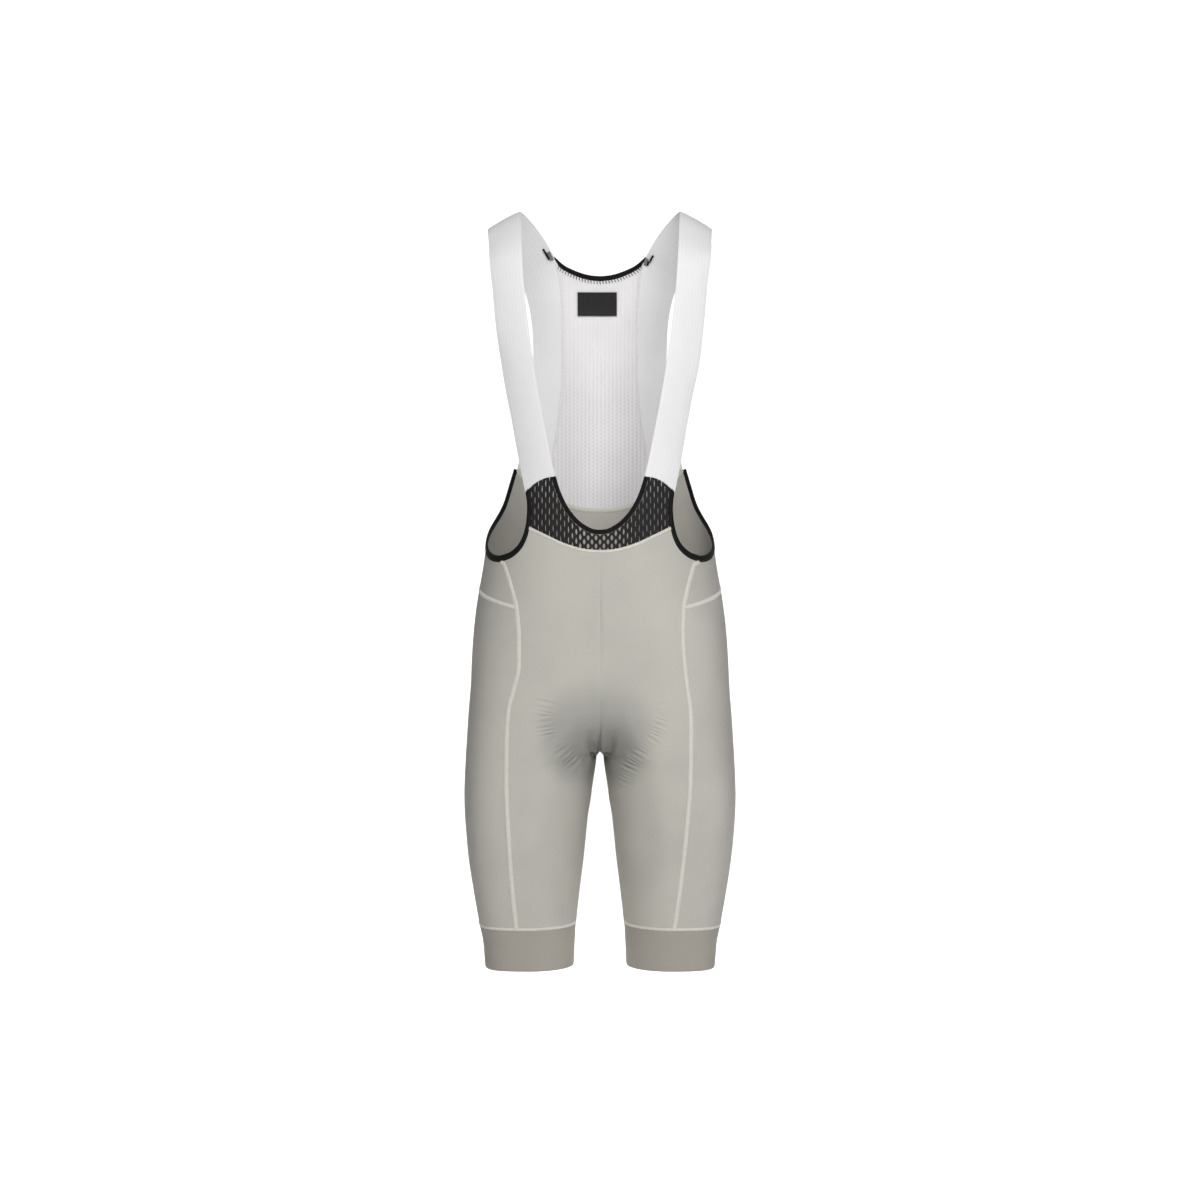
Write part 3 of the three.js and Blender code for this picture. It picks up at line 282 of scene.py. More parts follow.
PAD_LIFT = 2.2
PAD_SHAPES = [
    # half width, half height, middle z, how far its rim fades
    (74, 74, -620, 0.5),
    (80, 88, -640, 0.3),
]
FOLDS = [
    # face, from a, z, to a, z, width, height; a is x on the front and back, y on the two sides
    ("front", 0, -412, 0, -552, 1.7, -1.5),
    ("front", 0, -552, 0, -618, 3, -0.3),
    ("front", -2, -622, -1, -650, 2.2, -3.4),
    ("front", -7, -626, -5, -650, 3, 2.0),
    ("front", 4, -606, 3, -646, 2.4, 1.3),
    ("front", 9, -624, 8, -648, 3.2, 1.4),
    ("front", -13, -620, -9, -650, 4.2, -4.6),
    ("front", 16, -620, 10, -650, 4.8, -4.4),
    ("front", -21, -626, -14, -654, 3.4, 2.0),
    ("front", 25, -628, 17, -652, 4.4, 1.6),
    ("front", -27, -640, -15, -664, 3.4, -1.6),
    ("front", 31, -640, 19, -662, 4.0, -1.4),
    ("front", 46, -676, 56, -770, 15, -1.9),
    ("front", -70, -444, -30, -462, 12, -0.5),
    ("front", 76, -440, 34, -456, 12, -0.5),
    ("front", -92, -486, -70, -540, 14, 0.6),
    ("front", 88, -500, 72, -560, 14, 0.5),
    ("front", -60, -700, -110, -716, 12, -0.6),
    ("front", 52, -706, 112, -724, 13, -0.6),
    ("front", -44, -820, -86, -834, 9, 0.5),
    ("front", 48, -812, 80, -836, 9, 0.5),
    ("left", -20, -442, 40, -470, 10, -0.7),
    ("right", -10, -446, 46, -478, 11, -0.7),
    ("left", -40, -560, 50, -590, 16, -0.7),
    ("right", -30, -574, 54, -600, 15, -0.7),
    ("left", -30, -760, 30, -790, 14, 0.6),
    ("right", -34, -742, 24, -776, 14, 0.6),
    ("back", 0, -372, 0, -600, 3.5, -0.7),
    ("back", 0, -600, 0, -656, 6, -2.6),
    ("back", -20, -660, -96, -690, 8, -1.5),
    ("back", 22, -664, 90, -696, 8, -1.4),
    ("back", -40, -684, -110, -704, 7, 0.8),
    ("back", 46, -690, 104, -712, 7, 0.8),
    ("back", -14, -388, -74, -404, 10, -0.9),
    ("back", 10, -396, 80, -416, 11, -0.8),
    ("back", -30, -420, -90, -436, 12, 0.6),
    ("back", -60, -806, -108, -814, 7, -0.9),
    ("back", 56, -800, 110, -812, 8, -0.9),
    ("back", -54, -826, -104, -830, 6, 0.6),
    ("back", 60, -828, 112, -832, 6, 0.6),
]
PUCKERS = [
    # face, width, pitch, height, line of x and z along the edge of the pad
    ("front", 9, 5.6, 1.2, [(-60, -574), (-65, -598), (-60, -621), (-48, -638), (-30, -655), (-14, -668)]),
    ("front", 7, 4.8, 0.9,
     [(69, -578), (73, -599), (63, -622), (50, -638), (38, -654), (29, -674), (22, -694)]),
    ("back", 10, 7.4, 0.35, [(-66, -570), (-74, -610), (-70, -650), (-54, -684)]),
    ("back", 9, 6.8, 0.35, [(64, -566), (73, -606), (71, -652), (52, -688)]),
]


FRONT_TO_Y, FRONT_BLEND = 14, 28
SIDE_FROM_X, SIDE_BLEND = 105, 30
PAD_FRONT_Y, PAD_BLEND = -30, 60


def face_weight(face, point):
    """How much a place on the cloth belongs to the front, the back or one side."""
    if face in ("front", "back"):
        forward = ease((FRONT_TO_Y - point[..., 1]) / FRONT_BLEND)
        return forward if face == "front" else 1 - forward
    outer = point[..., 0] * (-1 if face == "left" else 1)
    return ease((outer - SIDE_FROM_X) / SIDE_BLEND)


def near_line(a, z, line):
    """Distance to a line of places, and how far along it the nearest place is."""
    best = np.full(a.shape, 1e9)
    along = np.zeros(a.shape)
    done = 0.0
    for (a0, z0), (a1, z1) in zip(line[:-1], line[1:]):
        length = math.hypot(a1 - a0, z1 - z0)
        t = np.clip(((a - a0) * (a1 - a0) + (z - z0) * (z1 - z0)) / length ** 2, 0, 1)
        away = np.hypot(a - a0 - t * (a1 - a0), z - z0 - t * (z1 - z0))
        closer = away < best
        best = np.where(closer, away, best)
        along = np.where(closer, done + t * length, along)
        done += length
    return best, along, done


def pad_reach(point, shape):
    """How far a place is from the middle of a pad shape, 1 at its rim."""
    half_width, half_height, middle, _ = shape
    return np.hypot(point[..., 0] / half_width, (point[..., 2] - middle) / half_height)


def relief(point):
    """Height of the pad outline, creases and puckers at places on the cloth."""
    front, back = (PAD_LIFT * ease((1 - pad_reach(point, shape)) / shape[3]) for shape in PAD_SHAPES)
    height = front + (back - front) * ease((point[..., 1] - PAD_FRONT_Y) / PAD_BLEND)
    for face, a0, z0, a1, z1, width, rise in FOLDS:
        a = point[..., 1] if face in ("left", "right") else point[..., 0]
        away, along, length = near_line(a, point[..., 2], [(a0, z0), (a1, z1)])
        fade = 0.35 + 0.65 * ease(along / length * 2) * ease((1 - along / length) * 2)
        height = height + rise * fade * np.exp(-(away / width) ** 2) * face_weight(face, point)
    for face, width, pitch, rise, line in PUCKERS:
        away, along, length = near_line(point[..., 0], point[..., 2], line)
        uneven = 0.65 + 0.35 * np.sin(along * 0.21 + 1.3) * np.sin(along * 0.083)
        fade = ease(along / 12) * ease((length - along) / 12)
        wave = np.sin(math.tau * (along + 1.2 * np.sin(along * 0.3)) / pitch)
        wave = rise * wave * uneven * fade
        height = height + wave * np.exp(-(away / width) ** 2) * face_weight(face, point)
    return height


def to_side(values, side):
    """Places or directions of one half, mirrored for side -1."""
    return values * np.array([side, 1, 1])


def cloth(share, z, side=1):
    """Places on the cloth of one half and the directions outwards there; side is -1 or 1."""
    share, z = np.broadcast_arrays(np.asarray(share, float), np.asarray(z, float))
    point, normal = on_rows(PLACE, share, z), unit(on_rows(NORMAL, share, z))
    return point + normal * relief(to_side(point, side))[..., None], normal


def smooth(places, steps):
    """More places along a line, on an even curve through its own."""
    places = np.asarray(places, dtype=float)
    ends = np.concatenate([[2 * places[0] - places[1]], places, [2 * places[-1] - places[-2]]])
    t = (np.arange(steps) / steps).reshape((-1,) + (1,) * (places.ndim - 1))
    parts = []
    for n in range(len(places) - 1):
        a, b, c, d = ends[n:n + 4]
        parts.append(0.5 * (2 * b + (c - a) * t + (2 * a - 5 * b + 4 * c - d) * t ** 2
                            + (3 * b - a - 3 * c + d) * t ** 3))
    return np.concatenate(parts + [places[-1:]])


def along(places, count):
    """A line of places at count + 1 even steps of its own numbering."""
    places = np.asarray(places, dtype=float)
    n = np.linspace(0, len(places) - 1, count + 1)
    return np.stack([np.interp(n, np.arange(len(places)), column) for column in places.T], axis=1)


def panel(left, right, top, bottom):
    """Shares and heights over a panel between its four edges; top and bottom fade out within it."""
    v = np.linspace(0, 1, len(left))[:, None, None]
    u = np.linspace(0, 1, len(top))[None, :, None]
    chord = lambda line: line[None, :] - (line[0] + (line[-1] - line[0]) * u)
    places = left[:, None] + (right - left)[:, None] * u
    places = places + (1 - v) ** 4 * chord(top) + v ** 4 * chord(bottom)
    return places[..., 0], places[..., 1]


def quads(number):
    """Faces between the neighbours in a grid of numbers."""
    corners = [number[:-1, :-1], number[1:, :-1], number[1:, 1:], number[:-1, 1:]]
    return np.stack(corners, axis=-1).reshape(-1, 4)


def new_piece(name, places, faces, sharp):
    """A smooth piece from places in millimetres, with sharp edges above an angle in degrees."""
    mesh = bpy.data.meshes.new(name)
    mesh.from_pydata((places * MM).tolist(), [], faces)
    mesh.shade_smooth()
    mesh.set_sharp_from_angle(angle=math.radians(sharp))
    return placed(name, mesh)


def cloth_wall(name, point, normal, thickness, way, side=1, ring=False, marks=None):
    """A closed wall of cloth from a grid of places, mirrored for side -1. Its finish reads the cloth's
    own measures from way and other values from marks."""
    rows, columns = point.shape[:2]
    half = np.broadcast_to(np.asarray(thickness, float), point.shape[:2])[..., None] / 2
    skins = np.concatenate([(point + normal * half).reshape(-1, 3), (point - normal * half).reshape(-1, 3)])
    skins = to_side(skins, side)
    number = np.arange(rows * columns).reshape(rows, columns)
    if ring:
        number = np.concatenate([number, number[:, :1]], axis=1)
    outer = quads(number)
    inner = outer[:, ::-1] + rows * columns
    edges = [number[0], number[-1, ::-1]]
    if not ring:
        edges += [number[::-1, 0], number[:, -1]]
    rims = [
        np.stack([edge[:-1], edge[1:], edge[1:] + rows * columns, edge[:-1] + rows * columns], axis=1)
        for edge in edges
    ]
    faces = np.concatenate([outer, inner] + rims)
    a, b, c, d = (skins[faces[:, k]] for k in range(4))
    if np.einsum("ij,ij->i", a, np.cross(b, c) + np.cross(c, d)).sum() < 0:
        faces = faces[:, ::-1]
    piece = new_piece(name, skins, faces.tolist(), 50)
    mesh = piece.data
    measures = np.concatenate([np.stack(way, axis=-1).reshape(-1, 2)] * 2)
    corners = np.zeros(len(mesh.loops), dtype=np.int32)
    mesh.loops.foreach_get("vertex_index", corners)
    mesh.uv_layers.new(name="cloth").data.foreach_set("uv", (measures[corners] * MM).ravel())
    for mark, values in (marks or {}).items():
        layer = mesh.attributes.new(mark, "FLOAT", "POINT")
        layer.data.foreach_set("value", np.concatenate([values.ravel()] * 2))
    return piece


def wear(piece, finish, slot, *nodes):
    """Gives a piece its finish, lets it ride on the garment and hides the solids that it stands for."""
    piece.data.materials.clear()
    piece.data.materials.append(finish)
    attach(piece, "root")
    if nodes:
        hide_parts(*nodes)


class Yarn:
    """A socket in a tree of nodes; sums and products of yarns add the Math nodes between them."""

    def __init__(self, tree, socket=None):
        self.tree = tree
        self.socket = socket

    def node(self, kind, settings=None, inputs=None, output=0):
        """Any other node, with its settings first and then its values or yarns."""
        made = self.tree.nodes.new(kind)
        for name, value in (settings or {}).items():
            setattr(made, name, value)
        for name, value in (inputs or {}).items():
            self.plug(value, made.inputs[name])
        return Yarn(self.tree, made.outputs[output])

    def plug(self, value, socket):
        if isinstance(value, Yarn):
            self.tree.links.new(value.socket, socket)
        else:
            socket.default_value = value

    def maths(self, operation, first, second=0.0):
        return self.node("ShaderNodeMath", {"operation": operation}, {0: first, 1: second})

    def __add__(self, other):
        return self.maths("ADD", self, other)

    __radd__ = __add__

    def __sub__(self, other):
        return self.maths("SUBTRACT", self, other)

    def __rsub__(self, other):
        return self.maths("SUBTRACT", other, self)

    def __mul__(self, other):
        return self.maths("MULTIPLY", self, other)

    __rmul__ = __mul__


def colour_of(red, green, blue):
    """A colour from its everyday numbers, 0 to 255."""
    linear = [
        c / 255 / 12.92 if c <= 10 else ((c / 255 + 0.055) / 1.055) ** 2.4 for c in (red, green, blue)
    ]
    return (*linear, 1.0)


def new_finish(name, colour, shade, roughness, sheen, depth, strength, pattern):
    """A finish. Its pattern says with a first yarn how far the colour goes to its darker shade and how
    high the surface is. What is the same all over is set on the shader."""
    finish = bpy.data.materials.new(name)
    finish.use_nodes = True
    shader = finish.node_tree.nodes["Principled BSDF"]
    shader.inputs["Roughness"].default_value = roughness
    shader.inputs["Specular IOR Level"].default_value = 0.25
    shader.inputs["Sheen Weight"].default_value = sheen
    shader.inputs["Sheen Roughness"].default_value = 0.45
    yarn = Yarn(finish.node_tree)
    dark, height = pattern(yarn)
    amount = yarn.node("ShaderNodeClamp", inputs={0: dark})
    tints = {0: amount, 6: colour_of(*colour), 7: colour_of(*shade)}
    tinted = yarn.node("ShaderNodeMix", {"data_type": "RGBA"}, tints, output=2)
    yarn.plug(tinted, shader.inputs["Base Color"])
    bump = yarn.node("ShaderNodeBump", inputs={"Height": height, "Distance": depth, "Strength": strength})
    yarn.plug(bump, shader.inputs["Normal"])
    return finish


def measures_of(yarn, place):
    """The three measures of a place."""
    return [yarn.node("ShaderNodeSeparateXYZ", inputs={0: place}, output=k) for k in range(3)]


def way_and_height(yarn):
    """The cloth's own measures: the way round and the height, in metres."""
    return measures_of(yarn, yarn.node("ShaderNodeUVMap", {"uv_map": "cloth"}))[:2]


def ripple(measure, pitch):
    """Rises and falls once in each pitch, from 0 to 1."""
    return measure.maths("SINE", measure * (math.tau / pitch)) * 0.5 + 0.5


def cloudy(yarn, size, detail=2.0):
    """Soft clouds of about one size over the piece, around 0.5."""
    place = yarn.node("ShaderNodeTexCoord", output=3)
    return yarn.node("ShaderNodeTexNoise", inputs={"Vector": place, "Scale": 1 / size, "Detail": detail})


def knit_finish(name, colour, shade, wale, course, depth, roughness, pad_and_shade=0.0):
    """A knit: upright wales and level courses of loops, a mottled colour, and the darker pad area with its
    painted crease shade beside the crotch seam.
    """
    def pattern(yarn):
        way, height = way_and_height(yarn)
        wales, courses = ripple(way, wale), ripple(height, course)
        clouds, grain = cloudy(yarn, 0.09), cloudy(yarn, 0.0016, 1.0)
        dark = (clouds - 0.5) * 0.9 + (grain - 0.5) * 0.35 + (1 - wales) * 0.22 + (1 - courses) * 0.1
        if pad_and_shade:
            # the pad mark darkens the colour; it also carries the painted crease shade beside the crotch
            # seam
            dark = dark + yarn.node("ShaderNodeAttribute", {"attribute_name": "pad_and_shade"}, output=2) * pad_and_shade
        return dark, wales * 0.7 + courses * 0.3 + grain * 0.5

    return new_finish(name, colour, shade, roughness, 0.0, depth, 0.8, pattern)


shorts_finish = knit_finish(
    "shorts_knit", (196, 193, 184), (163, 162, 157), 0.0011, 0.0008, 0.00008, 0.72, pad_and_shade=0.74)
FRONT_SEAM = np.array([
    # z, distance from the middle on the left leg, and on the right leg
    (-421, 112, 110), (-458, 100.5, 100), (-475, 96.2, 96.5), (-507, 93.4, 95.6), (-539, 93.4, 97.4),
    (-572, 100, 101.5), (-592, 105, 104), (-621, 107.4, 105), (-697, 108.3, 104.4), (-736, 106.6, 101),
    (-777, 104, 96.4), (-819, 100.6, 91), (-850, 97.4, 86.6),
])
ARM_EDGE = np.array([
    # share, z, width of the binding
    (0.234, -337, 5.2), (0.2265, -351, 5.4), (0.2245, -366, 5.7), (0.2285, -382.5, 6.1),
    (0.2385, -396.5, 6.7), (0.257, -408, 7.3), (0.289, -416.8, 7.7), (0.332, -421, 8), (0.36, -421.2, 8),
    (0.388, -419.5, 8), (0.416, -416.5, 7.9), (0.443, -412.5, 7.6), (0.47, -407.5, 7.2), (0.5, -401, 6.8),
    (0.532, -393.5, 6.4), (0.567, -384, 6.1), (0.615, -369, 5.8), (0.65, -353, 5.5), (0.677, -332, 5.2),
    (0.708, -306.5, 4.8),
])
# rows of the arm edge at which the net, the front panel and the yoke end
ARM_NET_END, ARM_FRONT_END, ARM_YOKE_END = 3, 7, 13
NET_SEAM = [(0, -410), (20, -408.2), (42, -401.5), (62.5, -391.8)]
# heights of the front seam; the first few are beside the yoke
SEAM_LEVELS = [-421, -439, -457, -475, -502, -530, -556, -579, -599, -617, -634, -651, -667, -684, -700,
               -704, -714, -732, -757, -787, -819, -850]
YOKE_LEVELS = 3
STEPS = 6
FRONT_ROWS = 315


def seam_levels(top_z, yoke_z, count):
    """Heights down one seam, from its own start into the levels of the front seam."""
    levels = np.array(SEAM_LEVELS, dtype=float)
    meet = SEAM_LEVELS[YOKE_LEVELS]
    n = np.arange(len(levels))
    lower = levels + (yoke_z - meet) * np.clip((levels + 600) / (meet + 600), 0, 1)
    levels = np.where(n <= YOKE_LEVELS, top_z + (yoke_z - top_z) * n / YOKE_LEVELS, lower)
    return np.interp(np.linspace(0, len(levels) - 1, count + 1), n, levels)


def places_at(x, z, behind):
    """Places, as share and height, at distances x from the middle."""
    return np.stack([share_at_x(x, z, behind), z], axis=1)


def upright(share, z):
    """A line of places at one share."""
    return np.stack([np.full(len(z), share), z], axis=1)


arm_edge = smooth(ARM_EDGE, STEPS)
arm_places = arm_edge[:, :2]
net_seam_places = np.concatenate([
    places_at(*np.array(NET_SEAM).T, False), arm_places[[ARM_NET_END * STEPS]],
])
net_seam = smooth(net_seam_places, STEPS)
LEGS = [("left", -1), ("right", 1)]
front_seams = {}


def panel_marks(point, side):
    """Where the pad shows through the cloth from inside, a darker mark: in front two lobes with a soft dip
    between them, darker towards the crotch and in its middle, plus painted crease shade beside the crotch
    seam."""
    x, z = point[..., 0] * side, point[..., 2]
    front, back = (ease((1.08 - pad_reach(point, shape)) / 0.5) for shape in PAD_SHAPES)
    dip = ease((14 - abs(x)) / 14) * ease((z + 580) / 30)
    deeper = 0.7 + 0.4 * ease((-570 - z) / 70)
    darker_middle = ease((26 - abs(x)) / 20) * ease((-606 - z) / 30)
    # painted crease shade: a dark spot in the creases beside the crotch seam, added to the pad mark
    painted_crease_shade = ease(1 - np.hypot((abs(x) - 12) / 7, (z + 642) / 20))
    front = front * (1 - 0.5 * dip) * deeper * (1 + 0.35 * darker_middle) + 1.2 * painted_crease_shade
    return {"pad_and_shade": front + (back - front) * ease((point[..., 1] - PAD_FRONT_Y) / PAD_BLEND)}


def girth_at(z):
    """The way round one half of the figure at heights z."""
    return np.interp(-z, -ROW_Z, GIRTH)


def cloth_panel(name, places, side):
    """A panel of knit on its places, with the marks of the pad and the painted crease shade beside the
    crotch seam.
    """
    share, z = places
    point, normal = cloth(share, z, side)
    way = (share * girth_at(z), z)
    return cloth_wall(name, point, normal, FABRIC_WALL, way, side, marks=panel_marks(point, side))


middle = upright(0, seam_levels(-410, -471, FRONT_ROWS))
seam_z = seam_levels(-421, -475, FRONT_ROWS)
top = np.concatenate([net_seam, arm_places[ARM_NET_END * STEPS + 1:ARM_FRONT_END * STEPS + 1]])
for column, (leg, side) in enumerate(LEGS, 1):
    seam = places_at(column_at(FRONT_SEAM, column, seam_z), seam_z, False)
    seam[0] = arm_places[ARM_FRONT_END * STEPS]
    front_seams[leg] = seam
    hem = np.linspace(middle[-1], seam[-1], len(top))
    front = cloth_panel(f"front_{leg}_knit", panel(middle, seam, top, hem), side)
    wear(front, shorts_finish, "shorts_fabric", f"front_{leg}")

# Side yokes and sides: the yoke is a small piece under each arm opening, the side runs from it down
# the outside of the thigh. Both are the same knit, a shade darker than the front, and are joined to
# each other and to the front and back panels by flatlock seams.
side_finish = knit_finish("side_knit", (195, 192, 184), (166, 164, 158), 0.0011, 0.0008, 0.00008, 0.72)
BACK_SEAM = np.array([
    # z, distance from the middle
    (-401, 135), (-443, 137.5), (-500, 137.5), (-560, 136.5), (-640, 134.5), (-700, 132), (-750, 130),
    (-800, 127.5), (-850, 124),
])
back_seam_z = seam_levels(-401, -443, FRONT_ROWS)
back_seam = places_at(column_at(BACK_SEAM, 1, back_seam_z), back_seam_z, True)
back_seam[0] = arm_places[ARM_YOKE_END * STEPS]
yoke_row = YOKE_LEVELS * FRONT_ROWS // (len(SEAM_LEVELS) - 1)
yoke_top = arm_places[ARM_FRONT_END * STEPS:ARM_YOKE_END * STEPS + 1]
for leg, side in LEGS:
    seam = front_seams[leg]
    yoke_hem, side_hem = (np.linspace(seam[row], back_seam[row], len(yoke_top)) for row in (yoke_row, -1))
    upper = panel(seam[:yoke_row + 1], back_seam[:yoke_row + 1], yoke_top, yoke_hem)
    yoke = cloth_panel(f"side_yoke_{leg}_knit", upper, side)
    wear(yoke, side_finish, "side_fabric", f"side_yoke_{leg}")
    lower = panel(seam[yoke_row::2], back_seam[yoke_row::2], yoke_hem, side_hem)
    outer = cloth_panel(f"side_{leg}_knit", lower, side)
    wear(outer, side_finish, "side_fabric", f"side_{leg}")

# Back panels: two pieces of the same knit as the front, from the seam under the white mesh down to
# the leg bands, joined on the middle line of the seat.
BACK_ROWS = 210
BACK_TOP_SEAM = [
    # x, z from the arm opening to the middle
    (101.6, -306.5), (92.5, -316.5), (84, -324.5), (75.5, -330.8), (67, -336), (51, -344.5),
    (34.5, -350.5), (17.5, -354), (0, -355),
]
back_top_places = places_at(*np.array(BACK_TOP_SEAM).T, True)
back_top_places[0] = arm_places[-1]
back_top = smooth(back_top_places, STEPS)
outer_edge = along(back_seam, BACK_ROWS)
middle = upright(1, seam_levels(-355, -425, BACK_ROWS))
top = np.concatenate([arm_places[ARM_YOKE_END * STEPS:], back_top[1:]])
back_places = panel(outer_edge, middle, top, np.linspace(outer_edge[-1], middle[-1], len(top)))
for leg, side in LEGS:
    back = cloth_panel(f"back_{leg}_knit", back_places, side)
    wear(back, shorts_finish, "shorts_fabric", f"back_{leg}")

# Leg grippers: a ring of firm ribbed elastic on each leg, sewn to the hem of the panels, with a
# clean folded lower edge.
GRIPPER_ROWS = 26
GRIPPER_EDGE, GRIPPER_EDGE_SHARE = 2.5, 0.72
gripper_finish = knit_finish(
    "gripper_elastic", (171, 165, 156), (143, 138, 130), 0.0016, 0.0009, 0.00012, 0.62)
for leg, side in LEGS:
    seam = front_seams[leg]
    round_shares = np.concatenate([
        np.linspace(0, seam[-1, 0], 55), np.linspace(seam[-1, 0], back_seam[-1, 0], 37)[1:],
        np.linspace(back_seam[-1, 0], 1, 85)[1:-1],
    ])
    z = np.linspace(GRIPPER_SEAM_Z, HEM_Z, GRIPPER_ROWS + 1)[:, None]
    point, normal = cloth(round_shares[None, :], z, side)
    edge = np.minimum(abs(z - GRIPPER_SEAM_Z), abs(z - HEM_Z))
    all_over = np.ones_like(point[..., 0])
    wall = GRIPPER_EDGE_SHARE + (1 - GRIPPER_EDGE_SHARE) * ease(edge / GRIPPER_EDGE)
    wall = FABRIC_WALL * wall * all_over
    way = (round_shares[None, :] * girth_at(z), z * all_over)
    gripper = cloth_wall(f"gripper_{leg}_elastic", point, normal, wall, way, side, ring=True)
    wear(gripper, gripper_finish, "gripper_band", f"gripper_{leg}")

# Flatlock seams: the panels meet edge to edge under a flat band of pale cover threads, with a row of
# stitches along each side and crossing threads between. Each seam follows the cloth it joins.
SEAM_SIZES = {"Width": 5.6, "Rise": 0.5, "Pitch": 2.4, "Thread": 0.34}
NARROW_SIZES = {"Width": 3.5, "Rise": 0.4, "Pitch": 2.2, "Thread": 0.28}
ON_TOP = FABRIC_WALL / 2


def new_tree(name, sizes):
    """A tree with a geometry, a material and named sizes as its inputs, and those as yarns."""
    tree = bpy.data.node_groups.new(name, "GeometryNodeTree")
    tree.interface.new_socket("Geometry", in_out="OUTPUT", socket_type="NodeSocketGeometry")
    tree.interface.new_socket("Geometry", in_out="INPUT", socket_type="NodeSocketGeometry")
    tree.interface.new_socket("Material", in_out="INPUT", socket_type="NodeSocketMaterial")
    for size in sizes:
        tree.interface.new_socket(size, in_out="INPUT", socket_type="NodeSocketFloat")
    inputs = tree.nodes.new("NodeGroupInput").outputs
    return tree, {name: Yarn(tree, inputs[name]) for name in ["Geometry", "Material", *sizes]}


def path_with_up(geometry):
    """The path as a curve whose normals are the directions stored on it."""
    curve = geometry.node("GeometryNodeMeshToCurve", inputs={0: geometry})
    up = geometry.node("GeometryNodeInputNamedAttribute", {"data_type": "FLOAT_VECTOR"}, {"Name": "up"})
    return geometry.node("GeometryNodeSetCurveNormal", {"mode": "FREE"}, {"Curve": curve, "Normal": up})


def lying_thread(radius, reach, turn, shift=None, lengthwise=False):
    """One plump thread: across the path, turned by an angle, or lengthwise beside it."""
    ball = radius.node("GeometryNodeMeshUVSphere", inputs={"Segments": 5, "Rings": 4, "Radius": 1.0})
    axes = {"X": radius, "Y": radius if lengthwise else reach, "Z": reach if lengthwise else radius}
    size = radius.node("ShaderNodeCombineXYZ", inputs=axes)
    lying = {"Geometry": ball, "Rotation": (turn, 0, 0), "Scale": size}
    if shift is not None:
        lying["Translation"] = radius.node("ShaderNodeCombineXYZ", inputs={"Y": shift})
    return radius.node("GeometryNodeTransform", inputs=lying)


def on_each_step(curve, pitch, thread):
    """The thread set down once in each pitch of the path, turned with it."""
    even = curve.node("GeometryNodeResampleCurve", {"mode": "LENGTH"}, {"Curve": curve, "Length": pitch})
    spots = curve.node("GeometryNodeCurveToPoints", {"mode": "EVALUATED"}, {0: even})
    turned = Yarn(curve.tree, spots.socket.node.outputs["Rotation"])
    laid = {"Points": spots, "Instance": thread, "Rotation": turned}
    return curve.node("GeometryNodeInstanceOnPoints", inputs=laid)


def joined(parts):
    """Several geometries as one."""
    whole = parts[0].node("GeometryNodeJoinGeometry")
    for part in parts:
        whole.plug(part, whole.socket.node.inputs[0])
    return whole


def close_tree(parts, material):
    """Joins the parts, makes them real and gives them their material."""
    real = material.node("GeometryNodeRealizeInstances", inputs={0: joined(parts)})
    done = material.node("GeometryNodeSetMaterial", inputs={"Geometry": real, "Material": material})
    done.plug(done, done.tree.nodes.new("NodeGroupOutput").inputs[0])


flatlock_tree, given = new_tree("flatlock_seam", ["Width", "Rise", "Pitch", "Thread"])
seam_curve = path_with_up(given["Geometry"])
section = seam_curve.node("GeometryNodeCurvePrimitiveCircle", inputs={"Resolution": 10, "Radius": 1.0})
section_size = seam_curve.node(
    "ShaderNodeCombineXYZ", inputs={"X": given["Rise"], "Y": given["Width"] * 0.5, "Z": 1.0})
section = seam_curve.node("GeometryNodeTransform", inputs={"Geometry": section, "Scale": section_size})
band = seam_curve.node(
    "GeometryNodeCurveToMesh", inputs={"Curve": seam_curve, "Profile Curve": section, "Fill Caps": True})
cross_reach, row_reach = given["Width"] * 0.46, given["Pitch"] * 0.48
stitch_unit = joined([
    lying_thread(given["Thread"], cross_reach, 0.5),
    lying_thread(given["Thread"], cross_reach, -0.5),
    lying_thread(given["Thread"], row_reach, 0, given["Width"] * 0.40, True),
    lying_thread(given["Thread"], row_reach, 0, given["Width"] * -0.40, True),
])
lift = seam_curve.node("ShaderNodeCombineXYZ", inputs={"X": given["Rise"] * 0.75})
raised = seam_curve.node("GeometryNodeTransform", inputs={"Geometry": stitch_unit, "Translation": lift})
close_tree([band, on_each_step(seam_curve, given["Pitch"], raised)], given["Material"])


def settled(piece):
    """Turns what the modifiers of a piece make into its own mesh."""
    bpy.context.view_layer.update()
    graph = bpy.context.evaluated_depsgraph_get()
    made = bpy.data.meshes.new_from_object(piece.evaluated_get(graph))
    piece.modifiers.clear()
    piece.data = made
    made.shade_smooth()
    return piece


def made_by(tree, name, mesh, finish, sizes):
    """The piece that a tree makes of a mesh, with its material and its sizes."""
    piece = placed(name, mesh)
    modifier = piece.modifiers.new("made", "NODES")
    modifier.node_group = tree
    values = {"Material": finish, **sizes}
    for item in tree.interface.items_tree:
        if item.in_out == "INPUT" and item.name in values:
            modifier[item.identifier] = values[item.name]
    return settled(piece)


def along_path(name, tree, finish, slot, paths, sizes):
    """Sewing made by a tree along paths; each path is its points and its directions outwards."""
    links, start = [], 0
    for points, _ in paths:
        links += [(start + n, start + n + 1) for n in range(len(points) - 1)]
        start += len(points)
    mesh = bpy.data.meshes.new(name)
    mesh.from_pydata((np.concatenate([points for points, _ in paths]) * MM).tolist(), links, [])
    layer = mesh.attributes.new("up", "FLOAT_VECTOR", "POINT")
    layer.data.foreach_set("vector", np.concatenate([ups for _, ups in paths]).ravel())
    sizes = {size: value * MM for size, value in sizes.items()}
    wear(made_by(tree, name, mesh, finish, sizes), finish, slot)


def cloth_path(places, side, lift=ON_TOP):
    """A path over the cloth of one half, lifted off its middle."""
    point, normal = cloth(*places.T, side)
    return to_side(point + normal * lift, side), to_side(normal, side) * (1 if lift > 0 else -1)


